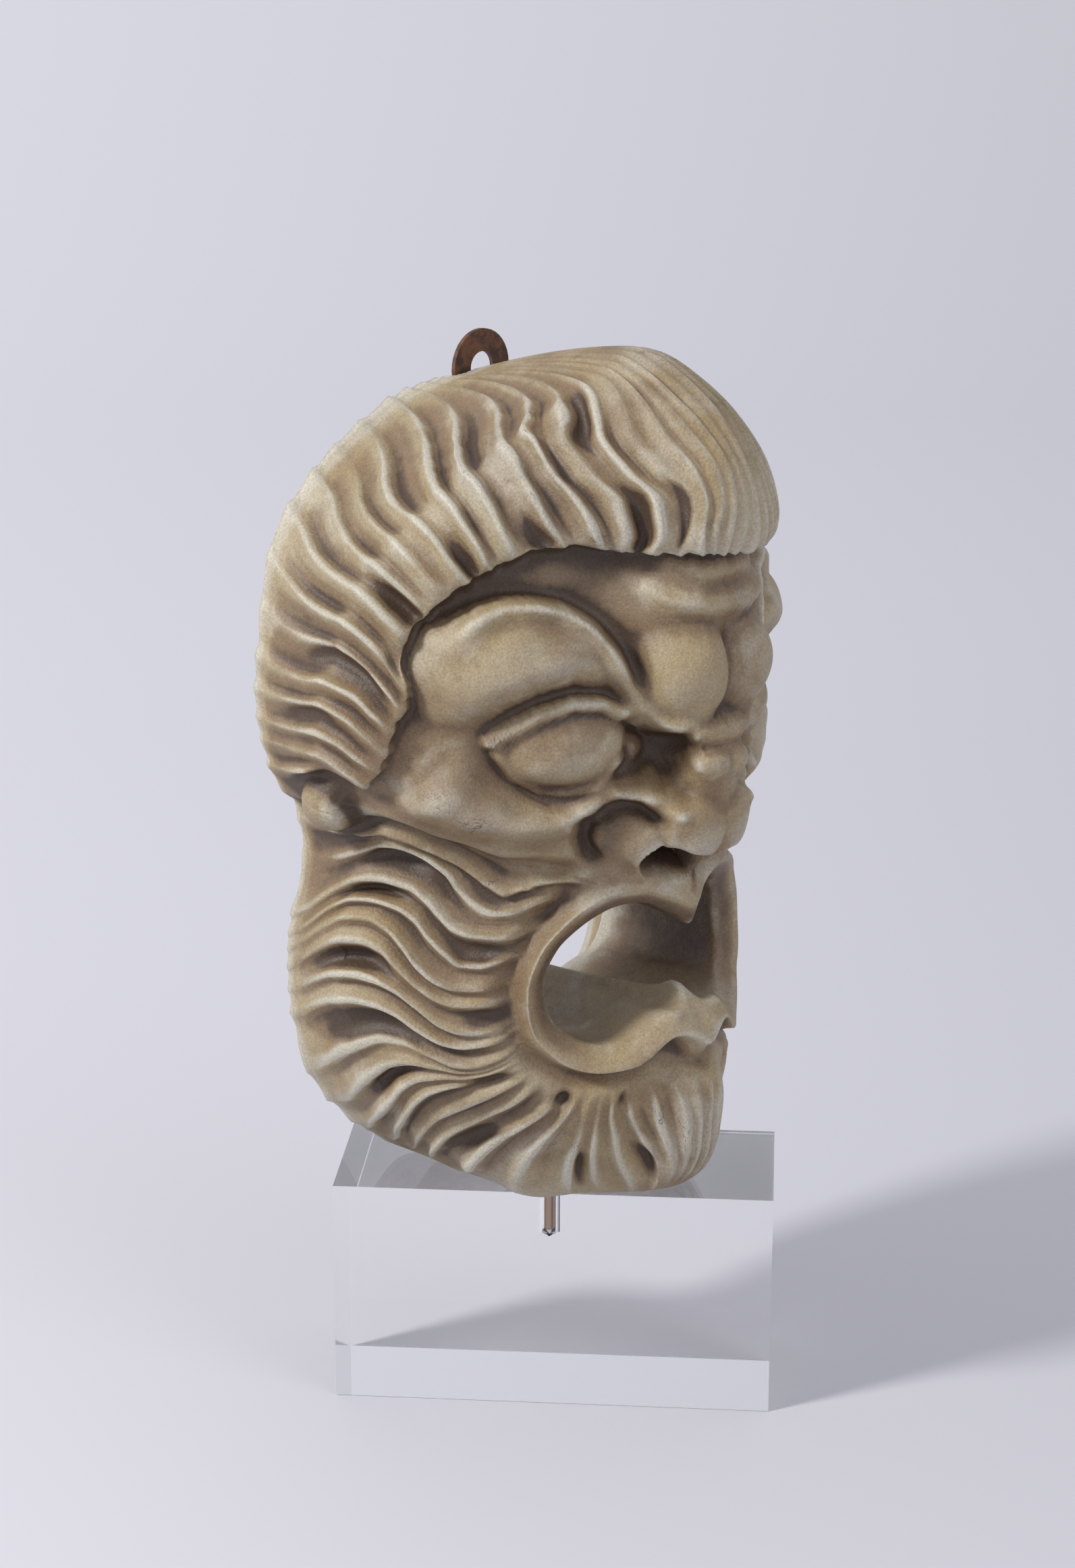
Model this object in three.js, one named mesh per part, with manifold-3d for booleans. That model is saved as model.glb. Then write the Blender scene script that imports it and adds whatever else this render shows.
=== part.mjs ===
// A grotesque theatre mask carved in one piece of marble, standing on a pin in a clear acrylic block.
// Units are millimetres. +Z is up, the mask faces -Y, its own right side is at -X.
// The origin is on the underside of the block, straight below the pin.
import * as THREE from "three";
import { mergeVertices } from "three/addons/utils/BufferGeometryUtils.js";
import Module from "manifold-3d";

const wasm = await Module();
wasm.setup();

// Driving dimensions of the block, the pin and the hanging plate
const block = {
  width: 200,
  depth: 80,
  height: 105,
  turnDeg: -51,
  pinOffset: 3,
  holeRadius: 5,
  holeDepth: 30,
  holeTip: 3,
};
const pin = { radius: 4, foot: 76, boreDepth: 46, boreRadius: 4.4, chamfer: 0.8, sides: 20 };
const plate = {
  eyeRadius: 17,
  holeRadius: 7,
  thickness: 2,
  tongueWidth: 22,
  eyeZ: 469,
  tongueEnd: 412,
  y: 46,
  x: 1,
  slotGap: 0.4,
  recess: 16,
};

// Driving dimensions of the mask: the front view outline is a radius from the mouth's axis at each
// angle from straight up, the same on both sides
const axisZ = 226;
const outline = {
  deg: [0, 4, 8, 14.7, 22.1, 30.5, 39.5, 47.1, 55.2, 61.2, 69.2, 78, 88.2, 107, 121, 137, 150, 158, 166, 180],
  radius: [253, 245, 235, 223, 214, 203, 184, 168, 143, 119, 107, 106, 109, 113, 118, 120, 122, 125, 121, 118],
};
const widest = { deg: [0, 20, 45, 90, 130, 152, 180], y: [-45, -22, 15, 28, 8, -24, -48] };
const rim = {
  deg: [0, 6, 14, 21, 30, 45, 62, 90, 125, 150, 165, 180],
  keep: [0.945, 0.99, 1.035, 1.05, 1.06, 1.015, 0.99, 0.998, 1, 1, 1, 1],
};
// How sharply the front stands forward along the middle line, above and below the mouth
const pointed = { up: 120, down: 60 };
// The hollow beside the nose, where the cheek falls back
const cheek = { x: 64, z: 298, wide: 46, high: 50, deep: 17 };
const back = { rimY: 58, topY: 47, topFrom: 455, topTo: 475, rimWidth: 26, rimExtra: 12, floorY: 29 };
const front = {
  z: [100, 117, 135, 150, 172, 192, 226, 262, 290, 317, 355, 383, 410, 434, 455, 475, 487],
  depth: [90, 99, 99, 97, 95, 93, 90, 91, 94, 97, 98, 99, 103, 108, 104, 87, 70],
};
const mouth = {
  deg: [0, 20, 36.9, 54.8, 70, 81.9, 96.7, 112.2, 123.9, 133.8, 143.1, 156.5, 180],
  radius: [25.7, 33, 44, 53.8, 58.5, 63.6, 68.5, 71.3, 69.9, 65, 55, 42.5, 34],
  y: [-83, -78, -73, -66, -58, -53, -50, -52, -59, -68, -79, -88, -94],
  lipWidth: 13,
  rollDepth: 14,
  rollOut: 3,
  tunnelOut: 7,
  lobeRise: 9,
  lobeSpan: 26,
};
const hairline = {
  deg: [0, 8.5, 13.5, 20, 26, 32.5, 36, 40, 44.5, 49, 53, 57.5],
  radius: [185, 187, 191, 194, 192, 186, 178, 163, 156, 148, 142, 136],
  endDeg: 57.5,
};
const hair = { lift: 15, sideLift: 12, rimLift: 2, crest: 2.6, valley: 3.4 };
const beard = { crest: 2.4, valley: 3.6 };
// Where the crests of the locks leave the hairline, and those of the beard's locks leave the mouth
const hairLocks = [1.8, 5.6, 9.4, 12.8, 16.2, 19.4, 22.4, 25.3, 28.2, 31.2, 34.3, 37.4];
const sideLocks = [40.6, 44, 47.3, 50.5, 53.6];
const beardLocks = [63, 72, 81, 90, 99, 108, 117, 126, 134.5, 143, 152, 161, 171];

// Counts of the mask's grid, and how close two columns may drift, as a share of their own spacing
const rows = { face: 18, outer: 9 };
const keepApart = 0.4;
const lockRoom = 4;
const sliver = 0.04;

const toRad = Math.PI / 180;
const clamp01 = (v) => Math.min(1, Math.max(0, v));
const smoothStep = (a, b, v) => {
  const t = clamp01((v - a) / (b - a));
  return t * t * (3 - 2 * t);
};

// A smooth curve through named values that never swings past them
function through(xs, ys) {
  const n = xs.length;
  const slope = xs.slice(1).map((x, i) => (ys[i + 1] - ys[i]) / (x - xs[i]));
  const tangent = xs.map((_, i) => {
    if (i === 0 || i === n - 1) return 0;
    const [a, b] = [slope[i - 1], slope[i]];
    return a * b > 0 ? (2 * a * b) / (a + b) : 0;
  });
  return (value) => {
    const x = Math.min(xs[n - 1], Math.max(xs[0], value));
    let i = 0;
    while (i < n - 2 && x > xs[i + 1]) i += 1;
    const h = xs[i + 1] - xs[i];
    const t = (x - xs[i]) / h;
    const [t2, t3] = [t * t, t * t * t];
    const start = (2 * t3 - 3 * t2 + 1) * ys[i] + (t3 - 2 * t2 + t) * h * tangent[i];
    const end = (3 * t2 - 2 * t3) * ys[i + 1] + (t3 - t2) * h * tangent[i + 1];
    return start + end;
  };
}

const outlineAt = through(outline.deg, outline.radius);
const widestAt = through(widest.deg, widest.y);
const rimKeepAt = through(rim.deg, rim.keep);
const frontDepthAt = through(front.z, front.depth);
const mouthRadiusAt = through(mouth.deg, mouth.radius);
const mouthYAt = through(mouth.deg, mouth.y);
const hairlineAt = through(hairline.deg, hairline.radius);

// The base form at one angle: from the rim of the mouth over the front, round the widest line and
// back to the rim behind, as points [radius, y] with the length run so far
function baseY(deg, radius) {
  const cosine = Math.cos(deg * toRad);
  const squareness = Math.abs(cosine) ** (cosine > 0 ? pointed.up : pointed.down);
  const power = 2 + 4 * squareness;
  const root = 1.15 + 0.9 * squareness;
  const height = axisZ + radius * cosine;
  const depth = frontDepthAt(height);
  const fall = clamp01(1 - (radius / outlineAt(deg)) ** power) ** (1 / root);
  const aside = (radius * Math.sin(deg * toRad) - cheek.x) / cheek.wide;
  const hollow = clamp01(1 - aside ** 2 - ((height - cheek.z) / cheek.high) ** 2) ** 1.5;
  return widestAt(deg) - (widestAt(deg) + depth) * fall + cheek.deep * hollow;
}

function section(deg) {
  const a = Math.abs(deg);
  const outer = outlineAt(a);
  const start = mouthRadiusAt(a);
  const lipShift = mouthYAt(a) - baseY(a, start);
  const from = Math.asin(start / outer);
  const steps = 60;
  const points = [];
  for (let i = 0; i <= steps; i += 1) {
    const radius = outer * Math.sin(from + (Math.PI / 2 - from) * (i / steps));
    points.push([radius, baseY(a, radius) + lipShift * Math.exp(-(radius - start) / 18)]);
  }
  const sideSteps = 12;
  const rimZ = axisZ + outer * Math.cos(a * toRad);
  const endY = back.rimY - (back.rimY - back.topY) * smoothStep(back.topFrom, back.topTo, rimZ);
  for (let i = 1; i <= sideSteps; i += 1) {
    const u = i / sideSteps;
    const radius = outer + outer * (rimKeepAt(a) - 1) * u ** 1.8;
    points.push([radius, widestAt(a) + (endY - widestAt(a)) * u]);
  }
  let run = 0;
  const lengths = points.map(([r, y], i) => {
    if (i > 0) run += Math.hypot(r - points[i - 1][0], y - points[i - 1][1]);
    return run;
  });
  return { points, lengths, total: run };
}

// The length along a section at which the hairline lies, or the line between cheek and beard's end
function breakLength(deg, sec) {
  const a = Math.abs(deg);
  const radius = hairlineAt(Math.min(a, hairline.endDeg));
  const hit = sec.points.findIndex(([r]) => r >= radius);
  const hairBreak = hit < 0 ? sec.total * 0.72 : sec.lengths[hit];
  const inHair = 1 - smoothStep(hairline.endDeg - 3, hairline.endDeg + 6, a);
  return hairBreak * inHair + sec.total * 0.5 * (1 - inHair);
}

function pointAt(deg, length, sec) {
  const s = Math.min(sec.total, Math.max(0, length));
  let i = 1;
  while (i < sec.lengths.length - 1 && sec.lengths[i] < s) i += 1;
  const t = (s - sec.lengths[i - 1]) / (sec.lengths[i] - sec.lengths[i - 1]);
  const radius = sec.points[i - 1][0] + (sec.points[i][0] - sec.points[i - 1][0]) * t;
  const y = sec.points[i - 1][1] + (sec.points[i][1] - sec.points[i - 1][1]) * t;
  const angle = deg * toRad;
  return new THREE.Vector3(radius * Math.sin(angle), y, axisZ + radius * Math.cos(angle));
}

// How the locks drift sideways, in degrees, with the distance run from the hairline or the mouth
function hairFlow(a, run) {
  const pull = 0.85 * clamp01((46 - a) / 28) ** 1.3 * smoothStep(40, 130, run);
  const sway = 2.6 * Math.exp(-a / 16) * Math.sin(Math.PI * clamp01(run / 90)) ** 2;
  return a * (1 - pull) + sway * smoothStep(0, 6, a);
}

const waveSize = through([60, 75, 92, 105, 116, 126, 136, 180], [0, 4.5, 5.5, 6.5, 5.5, 2, 0, 0]);
const waveStart = through([60, 75, 92, 105, 118, 180], [22, 26, 34, 38, 46, 46]);
const fanOut = through([60, 108, 118, 128, 138, 146, 180], [0, 0, 16, 15, 12, 0, 0]);
const drawIn = through([130, 135, 142, 150, 160, 170, 180], [0, 12, 42, 47, 31, 15, 0]);
function beardFlow(a, run) {
  const wave = waveSize(a) * Math.cos((2 * Math.PI * (run - waveStart(a))) / 104);
  const settle = 0.6 * (1 - Math.exp(-run / 45));
  return a + wave * smoothStep(0, 20, run) + fanOut(a) * (run / 100) + drawIn(a) * settle;
}

// The length along a section for a part that runs 0..1 from mouth to hairline, 1..2 on to the rim
function lengthAt(deg, sec, part) {
  const cut = breakLength(deg, sec);
  return part <= 1 ? cut * part : cut + (sec.total - cut) * (part - 1);
}

// The angles that the columns of one side have drifted to in one row, kept in order and apart
function driftedRow(half, part) {
  const row = half.map(({ deg }) => {
    const inHair = 1 - smoothStep(hairline.endDeg - 2, hairline.endDeg + 5, deg);
    const sec = section(deg);
    const length = lengthAt(deg, sec, part);
    const hairDeg = hairFlow(deg, Math.max(0, length - breakLength(deg, sec)));
    return hairDeg * inHair + beardFlow(deg, length) * (1 - inHair);
  });
  const last = half.length - 1;
  row[0] = 0;
  row[last] = 180;
  const apart = (i) => keepApart * (half[i + 1].deg - half[i].deg);
  for (let i = last - 1; i > 0; i -= 1) row[i] = Math.min(row[i], row[i + 1] - apart(i));
  for (let i = 1; i < last; i += 1) row[i] = Math.max(row[i], row[i - 1] + apart(i - 1));
  return row;
}

// A rounded swelling or hollow in the front view, with half sizes and a turn in degrees
function swelling(x, z, spot) {
  const c = Math.cos((spot.turn || 0) * toRad);
  const s = Math.sin((spot.turn || 0) * toRad);
  const u = ((x - spot.x) * c + (z - spot.z) * s) / spot.w;
  const v = ((z - spot.z) * c - (x - spot.x) * s) / spot.h;
  const q = u * u + v * v;
  return q >= 1 ? 0 : spot.rise * (1 - q) ** (spot.soft || 1.6);
}

// Distance in the front view from a line through named points
function lineDistance(x, z, line) {
  let best = 1e9;
  for (let i = 1; i < line.length; i += 1) {
    const [ax, az] = line[i - 1];
    const [bx, bz] = line[i];
    const [dx, dz] = [bx - ax, bz - az];
    const t = clamp01(((x - ax) * dx + (z - az) * dz) / (dx * dx + dz * dz));
    best = Math.min(best, Math.hypot(x - ax - dx * t, z - az - dz * t));
  }
  return best;
}

// The features of the face, on one side, x counted from the middle
const swellings = [
  { x: 22, z: 362, w: 21, h: 31, rise: 13, turn: -6, soft: 1.1 },
  { x: 74, z: 372, w: 30, h: 26, rise: 8 },
  { x: 42, z: 326, w: 20, h: 22, rise: -15 },
  { x: 35, z: 308, w: 17, h: 26, rise: -11 },
  { x: 72, z: 331, w: 19, h: 17, rise: 9, soft: 1 },
  { x: 39, z: 294, w: 13, h: 13, rise: 10, soft: 1 },
  { x: 9, z: 287, w: 15, h: 15, rise: 9 },
  { x: 0, z: 308, w: 14, h: 30, rise: 6 },
  { x: 22, z: 276, w: 8, h: 7, rise: -12 },
  { x: 86, z: 312, w: 30, h: 20, rise: 5 },
];
const ridges = [
  {
    line: [[98, 381], [90, 393], [78, 394], [64, 384], [55, 371], [49, 354], [42, 341], [34, 335], [24, 335]],
    rise: 6,
    w: 6,
  },
  { line: [[92, 336], [83, 347], [73, 352], [60, 352], [50, 347]], rise: 6, w: 5 },
  { line: [[89, 325], [80, 314], [71, 311], [62, 315], [56, 323]], rise: 4, w: 4 },
  { line: [[46, 398], [26, 388], [6, 388]], rise: 3, w: 6 },
  { line: [[50, 306], [62, 300], [80, 291], [104, 292]], rise: 3.5, w: 7 },
];
const earLobe = { x: 110, y: 24, z: 292, radius: 15, rise: 9 };

function faceRelief(point) {
  const x = Math.abs(point.x);
  const { z } = point;
  let rise = 0;
  for (const spot of swellings) rise += swelling(x, z, spot);
  for (const ridge of ridges) {
    rise += ridge.rise * Math.exp(-((lineDistance(x, z, ridge.line) / ridge.w) ** 2));
  }
  const lobe = Math.hypot(x - earLobe.x, point.y - earLobe.y, z - earLobe.z) / earLobe.radius;
  if (lobe < 1) rise += earLobe.rise * Math.sqrt(1 - lobe * lobe);
  return rise;
}

// The wig-like mass of hair stands up in a step at the hairline and thins towards the rim behind
function hairMass(corner, a) {
  const cut = breakLength(corner.deg, corner.sec);
  const run = corner.length - cut;
  const band = corner.sec.total - cut;
  const lift = hair.lift + (hair.sideLift - hair.lift) * smoothStep(20, 45, a);
  const top = lift + (hair.rimLift - lift) * smoothStep(0.1, 0.75, run / band);
  const inHair = 1 - smoothStep(hairline.endDeg - 2.5, hairline.endDeg, corner.deg);
  return top * smoothStep(-1, 7, run) * inHair;
}

// The columns: each lock has its crest and the valley beside it, and the face and beard between
function columns() {
  const crests = [...hairLocks, ...sideLocks];
  const half = [{ deg: 0, ridge: -0.4 }];
  crests.forEach((deg, i) => {
    half.push({ deg, ridge: 1 });
    const next = crests[i + 1] || hairline.endDeg + 0.5;
    half.push({ deg: deg * 0.42 + next * 0.58, ridge: -1 });
  });
  beardLocks.forEach((deg, i) => {
    const next = beardLocks[i + 1] || 180;
    half.push({ deg, ridge: 1 });
    if (i < beardLocks.length - 1) half.push({ deg: deg * 0.45 + next * 0.55, ridge: -1 });
  });
  half.push({ deg: 180, ridge: -0.6 });
  return half;
}

// The rows behind the lips at one angle, from the rim behind inwards to the mouth, as [radius, y]
function backPoints(deg, sec) {
  const [rimRadius, rimY] = sec.points[sec.points.length - 1];
  const down = Math.abs(Math.cos(deg * toRad)) ** 3;
  const inner = rimRadius - back.rimWidth - back.rimExtra * down;
  const lip = mouthRadiusAt(deg);
  const lipY = mouthYAt(deg);
  const lobe = mouth.lobeRise * (1 - smoothStep(0, mouth.lobeSpan, 180 - deg));
  return [
    [inner, rimY],
    [inner - 7, back.floorY + 5],
    [(inner + lip) / 2 - 6, back.floorY],
    [lip - mouth.tunnelOut, back.floorY],
    [lip - mouth.tunnelOut - 1, -8],
    [lip - mouth.lipWidth + mouth.rollOut - lobe * 0.5, lipY + mouth.rollDepth + lobe * 2],
    [lip - mouth.lipWidth - lobe, lipY + 1 + lobe * 2],
  ];
}

function polar(deg, radius, y) {
  const angle = deg * toRad;
  return new THREE.Vector3(radius * Math.sin(angle), y, axisZ + radius * Math.cos(angle));
}

// How far the surface stands out from the base form at one corner of the front
function relief(point, corner, column, room) {
  const { deg, sec, length, part } = corner;
  const beyond = length - breakLength(deg, sec);
  const isHair = column.deg < hairline.endDeg + 1;
  const hairShare = isHair ? smoothStep(0, 9, beyond) : 0;
  const cheek = smoothStep(281, 296, point.z - 0.1 * (110 - Math.abs(point.x)));
  const beardShare = isHair ? 0 : smoothStep(6, 22, length) * (1 - cheek * 0.8);
  const { ridge } = column;
  const hairRidge = (ridge > 0 ? hair.crest : hair.valley) * ridge * hairShare;
  const beardRidge = (ridge > 0 ? beard.crest : beard.valley) * ridge * beardShare;
  const groove = -4.5 * Math.exp(-(((length - 13) / 7) ** 2)) * smoothStep(40, 70, column.deg);
  const fade = (1 - 0.55 * smoothStep(1.8, 2, part)) * clamp01(room / lockRoom);
  const face = faceRelief(point) * smoothStep(0, 16, length) * (1 - hairShare);
  return face + hairMass(corner, column.deg) + (hairRidge + beardRidge + groove) * fade;
}

// One side of the mask: for each column the front rows, then the rows behind
function sideColumns() {
  const half = columns();
  const parts = [];
  for (let j = 0; j < rows.face; j += 1) parts.push((j / rows.face) ** 0.92);
  for (let j = 0; j <= rows.outer; j += 1) parts.push(1 + (j / rows.outer) ** 1.25);
  const angles = parts.map((part) => driftedRow(half, part));
  const corners = half.map((_, i) =>
    parts.map((part, j) => {
      const deg = angles[j][i];
      const sec = section(deg);
      return { deg, sec, part, length: lengthAt(deg, sec, part) };
    }),
  );
  const base = corners.map((col) => col.map(({ deg, length, sec }) => pointAt(deg, length, sec)));
  const lastRow = parts.length - 1;
  const lastCol = half.length - 1;
  const mirrored = (point) => new THREE.Vector3(-point.x, point.y, point.z);
  return half.map((column, i) => {
    const front = base[i].map((point, j) => {
      const before = i > 0 ? base[i - 1][j] : mirrored(base[1][j]);
      const after = i < lastCol ? base[i + 1][j] : mirrored(base[lastCol - 1][j]);
      const across = after.clone().sub(before);
      const along = base[i][Math.min(lastRow, j + 1)].clone().sub(base[i][Math.max(0, j - 1)]);
      const normal = new THREE.Vector3().crossVectors(across, along).normalize();
      const out = relief(point, corners[i][j], column, across.length() / 2);
      return point.clone().addScaledVector(normal, out);
    });
    // The rows behind swing back from the angle that the lock has drifted to, to meet the lip's start
    const end = corners[i][lastRow];
    const drifted = backPoints(end.deg, end.sec);
    const behind = backPoints(column.deg, section(column.deg)).map(([radius, y], k, list) => {
      const share = k / (list.length - 1);
      const mix = (from, to) => from + (to - from) * share;
      return polar(mix(end.deg, column.deg), mix(drifted[k][0], radius), mix(drifted[k][1], y));
    });
    return [...front, ...behind];
  });
}

function maskGeometry() {
  const near = sideColumns();
  const far = near
    .slice(1, -1)
    .reverse()
    .map((col) => col.map((point) => new THREE.Vector3(-point.x, point.y, point.z)));
  const ring = [...near, ...far];
  const n = ring.length;
  const m = ring[0].length;
  const positions = [];
  ring.forEach((col) => col.forEach((point) => positions.push(point.x, point.y, point.z)));
  const indices = [];
  for (let i = 0; i < n; i += 1) {
    for (let j = 0; j < m; j += 1) {
      const corner = (ii, jj) => (ii % n) * m + (jj % m);
      const [p, q, r, s] = [corner(i, j), corner(i + 1, j), corner(i + 1, j + 1), corner(i, j + 1)];
      indices.push(p, q, r, p, r, s);
    }
  }
  const geometry = new THREE.BufferGeometry();
  geometry.setAttribute("position", new THREE.Float32BufferAttribute(positions, 3));
  geometry.setIndex(indices);
  return geometry;
}

// Closed meshes to solids and back, for the drilled holes
function toSolid(geometry) {
  const bare = geometry.clone();
  bare.deleteAttribute("normal");
  bare.deleteAttribute("uv");
  const merged = mergeVertices(bare, 1e-3);
  return new wasm.Manifold(
    new wasm.Mesh({
      numProp: 3,
      vertProperties: merged.attributes.position.array,
      triVerts: new Uint32Array(merged.index.array),
    }),
  );
}

function toGeometry(solid) {
  const mesh = solid.getMesh();
  const geometry = new THREE.BufferGeometry();
  geometry.setAttribute("position", new THREE.BufferAttribute(mesh.vertProperties.slice(), 3));
  geometry.setIndex(new THREE.BufferAttribute(mesh.triVerts.slice(), 1));
  geometry.computeVertexNormals();
  return geometry;
}

// A round body along Z from a profile of [radius, z], rising, that starts and ends on the axis
function turned(profile, sides) {
  const points = profile.map(([radius, z]) => new THREE.Vector2(radius, z));
  return new THREE.LatheGeometry(points, sides).rotateX(Math.PI / 2);
}

function blockGeometry() {
  const body = new THREE.BoxGeometry(block.width, block.depth, block.height);
  body.translate(0, 0, block.height / 2);
  const bottom = block.height - block.holeDepth;
  const drill = turned(
    [
      [0, bottom - block.holeTip],
      [block.holeRadius, bottom],
      [block.holeRadius, block.height + 5],
      [0, block.height + 5],
    ],
    28,
  );
  drill.translate(-block.pinOffset, 0, 0);
  return toGeometry(toSolid(body).subtract(toSolid(drill)));
}

function pinGeometry() {
  const top = maskBottom + pin.boreDepth - 1;
  return turned(
    [
      [0, pin.foot],
      [pin.radius - pin.chamfer, pin.foot],
      [pin.radius, pin.foot + pin.chamfer],
      [pin.radius, top - pin.chamfer],
      [pin.radius - pin.chamfer, top],
      [0, top],
    ],
    pin.sides,
  );
}

// The outline of the plate: a round eye on a tongue, drawn flat and extruded
function plateOutline(grow) {
  const shape = new THREE.Shape();
  const half = plate.tongueWidth / 2 + grow;
  const radius = plate.eyeRadius + grow;
  const join = Math.asin(half / radius);
  const bottom = plate.tongueEnd - plate.eyeZ - grow;
  shape.moveTo(-half, bottom);
  shape.lineTo(half, bottom);
  shape.absarc(0, 0, radius, -Math.PI / 2 + join, Math.PI * 1.5 - join, false);
  shape.closePath();
  return shape;
}

// The plate itself, or the recess for it: a little larger all round and open to the back
function plateSolid(grow, recess) {
  const shape = plateOutline(grow);
  if (grow === 0) {
    const hole = new THREE.Path();
    hole.absarc(0, 0, plate.holeRadius, 0, Math.PI * 2, true);
    shape.holes.push(hole);
  }
  const thickness = plate.thickness + grow + recess;
  const flat = new THREE.ExtrudeGeometry(shape, {
    depth: thickness,
    bevelEnabled: false,
    curveSegments: 14,
  });
  flat.rotateX(Math.PI / 2);
  flat.translate(plate.x, plate.y + plate.thickness / 2 + recess, plate.eyeZ);
  return flat;
}

// The mask with its bore for the pin, and the recess at the top that the plate's tongue is let into
const carved = maskGeometry();
carved.computeBoundingBox();
const maskBottom = carved.boundingBox.min.z;
const bore = turned(
  [
    [0, maskBottom - 30],
    [pin.boreRadius, maskBottom - 30],
    [pin.boreRadius, maskBottom + pin.boreDepth],
    [0, maskBottom + pin.boreDepth],
  ],
  pin.sides,
);
const maskSolid = toSolid(carved)
  .subtract(toSolid(bore))
  .subtract(toSolid(plateSolid(plate.slotGap, plate.recess)))
  .simplify(sliver);

function piece(name, geometry, color, roughness, metalness, extra = {}) {
  const material = new THREE.MeshStandardMaterial({ color, roughness, metalness, ...extra });
  const mesh = new THREE.Mesh(geometry, material);
  mesh.name = name;
  return mesh;
}

const part = new THREE.Group();
part.add(piece("marble_mask", toGeometry(maskSolid), 0xb3a58c, 0.55, 0));
part.add(piece("hanging_plate", plateSolid(0, 0), 0x4a342a, 0.7, 0.6));
part.add(piece("mounting_pin", pinGeometry(), 0x8a5a3c, 0.4, 0.8));
const stand = new THREE.Group();
stand.rotation.z = block.turnDeg * toRad;
const standBlock = piece("acrylic_block", blockGeometry(), 0xf2f4f7, 0.05, 0, {
  transparent: true,
  opacity: 0.35,
});
standBlock.position.x = block.pinOffset;
stand.add(standBlock);
part.add(stand);

export default part;
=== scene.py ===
import bpy
import numpy as np
from mathutils import Matrix, Vector


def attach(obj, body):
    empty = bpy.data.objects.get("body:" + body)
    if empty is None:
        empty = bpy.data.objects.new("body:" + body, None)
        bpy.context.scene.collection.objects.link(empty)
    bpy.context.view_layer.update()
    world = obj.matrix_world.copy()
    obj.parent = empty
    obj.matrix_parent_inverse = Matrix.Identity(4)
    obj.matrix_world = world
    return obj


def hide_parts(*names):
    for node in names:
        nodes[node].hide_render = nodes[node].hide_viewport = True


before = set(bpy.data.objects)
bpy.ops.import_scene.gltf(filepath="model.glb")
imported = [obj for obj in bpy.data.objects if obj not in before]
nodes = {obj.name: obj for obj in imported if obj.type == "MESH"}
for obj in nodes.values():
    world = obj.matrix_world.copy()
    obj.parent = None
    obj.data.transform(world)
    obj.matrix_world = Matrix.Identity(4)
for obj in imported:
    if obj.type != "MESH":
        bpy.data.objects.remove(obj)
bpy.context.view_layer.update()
mm = 0.001  # sizes below are in millimetres, meshes are in metres
print("frame loaded:", sorted(nodes))


def clamp01(v):
    # each value kept from 0 to 1
    return np.clip(v, 0.0, 1.0)


def smoothStep(a, b, v):
    # 0 below a, 1 above b, and 3t^2 - 2t^3 between
    t = clamp01((np.asarray(v, float) - a) / (b - a))
    return t * t * (3 - 2 * t)


def through(x, xs, ys):
    # monotone cubic through the named values: Hermite pieces whose slopes are harmonic means
    xs, ys = np.asarray(xs, float), np.asarray(ys, float)
    x = np.clip(x, xs[0], xs[-1])
    gap = np.diff(xs)
    slope = np.diff(ys) / gap
    tangent = np.zeros(len(xs))
    rising = slope[:-1] * slope[1:] > 0
    total = np.where(rising, slope[:-1] + slope[1:], 1.0)
    tangent[1:-1] = np.where(rising, 2 * slope[:-1] * slope[1:] / total, 0.0)
    i = np.clip(np.searchsorted(xs, x, side="right") - 1, 0, len(xs) - 2)
    t = (x - xs[i]) / gap[i]
    t2, t3 = t * t, t * t * t
    start = (2 * t3 - 3 * t2 + 1) * ys[i] + (t3 - 2 * t2 + t) * gap[i] * tangent[i]
    end = (3 * t2 - 2 * t3) * ys[i + 1] + (t3 - t2) * gap[i] * tangent[i + 1]
    return start + end


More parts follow.
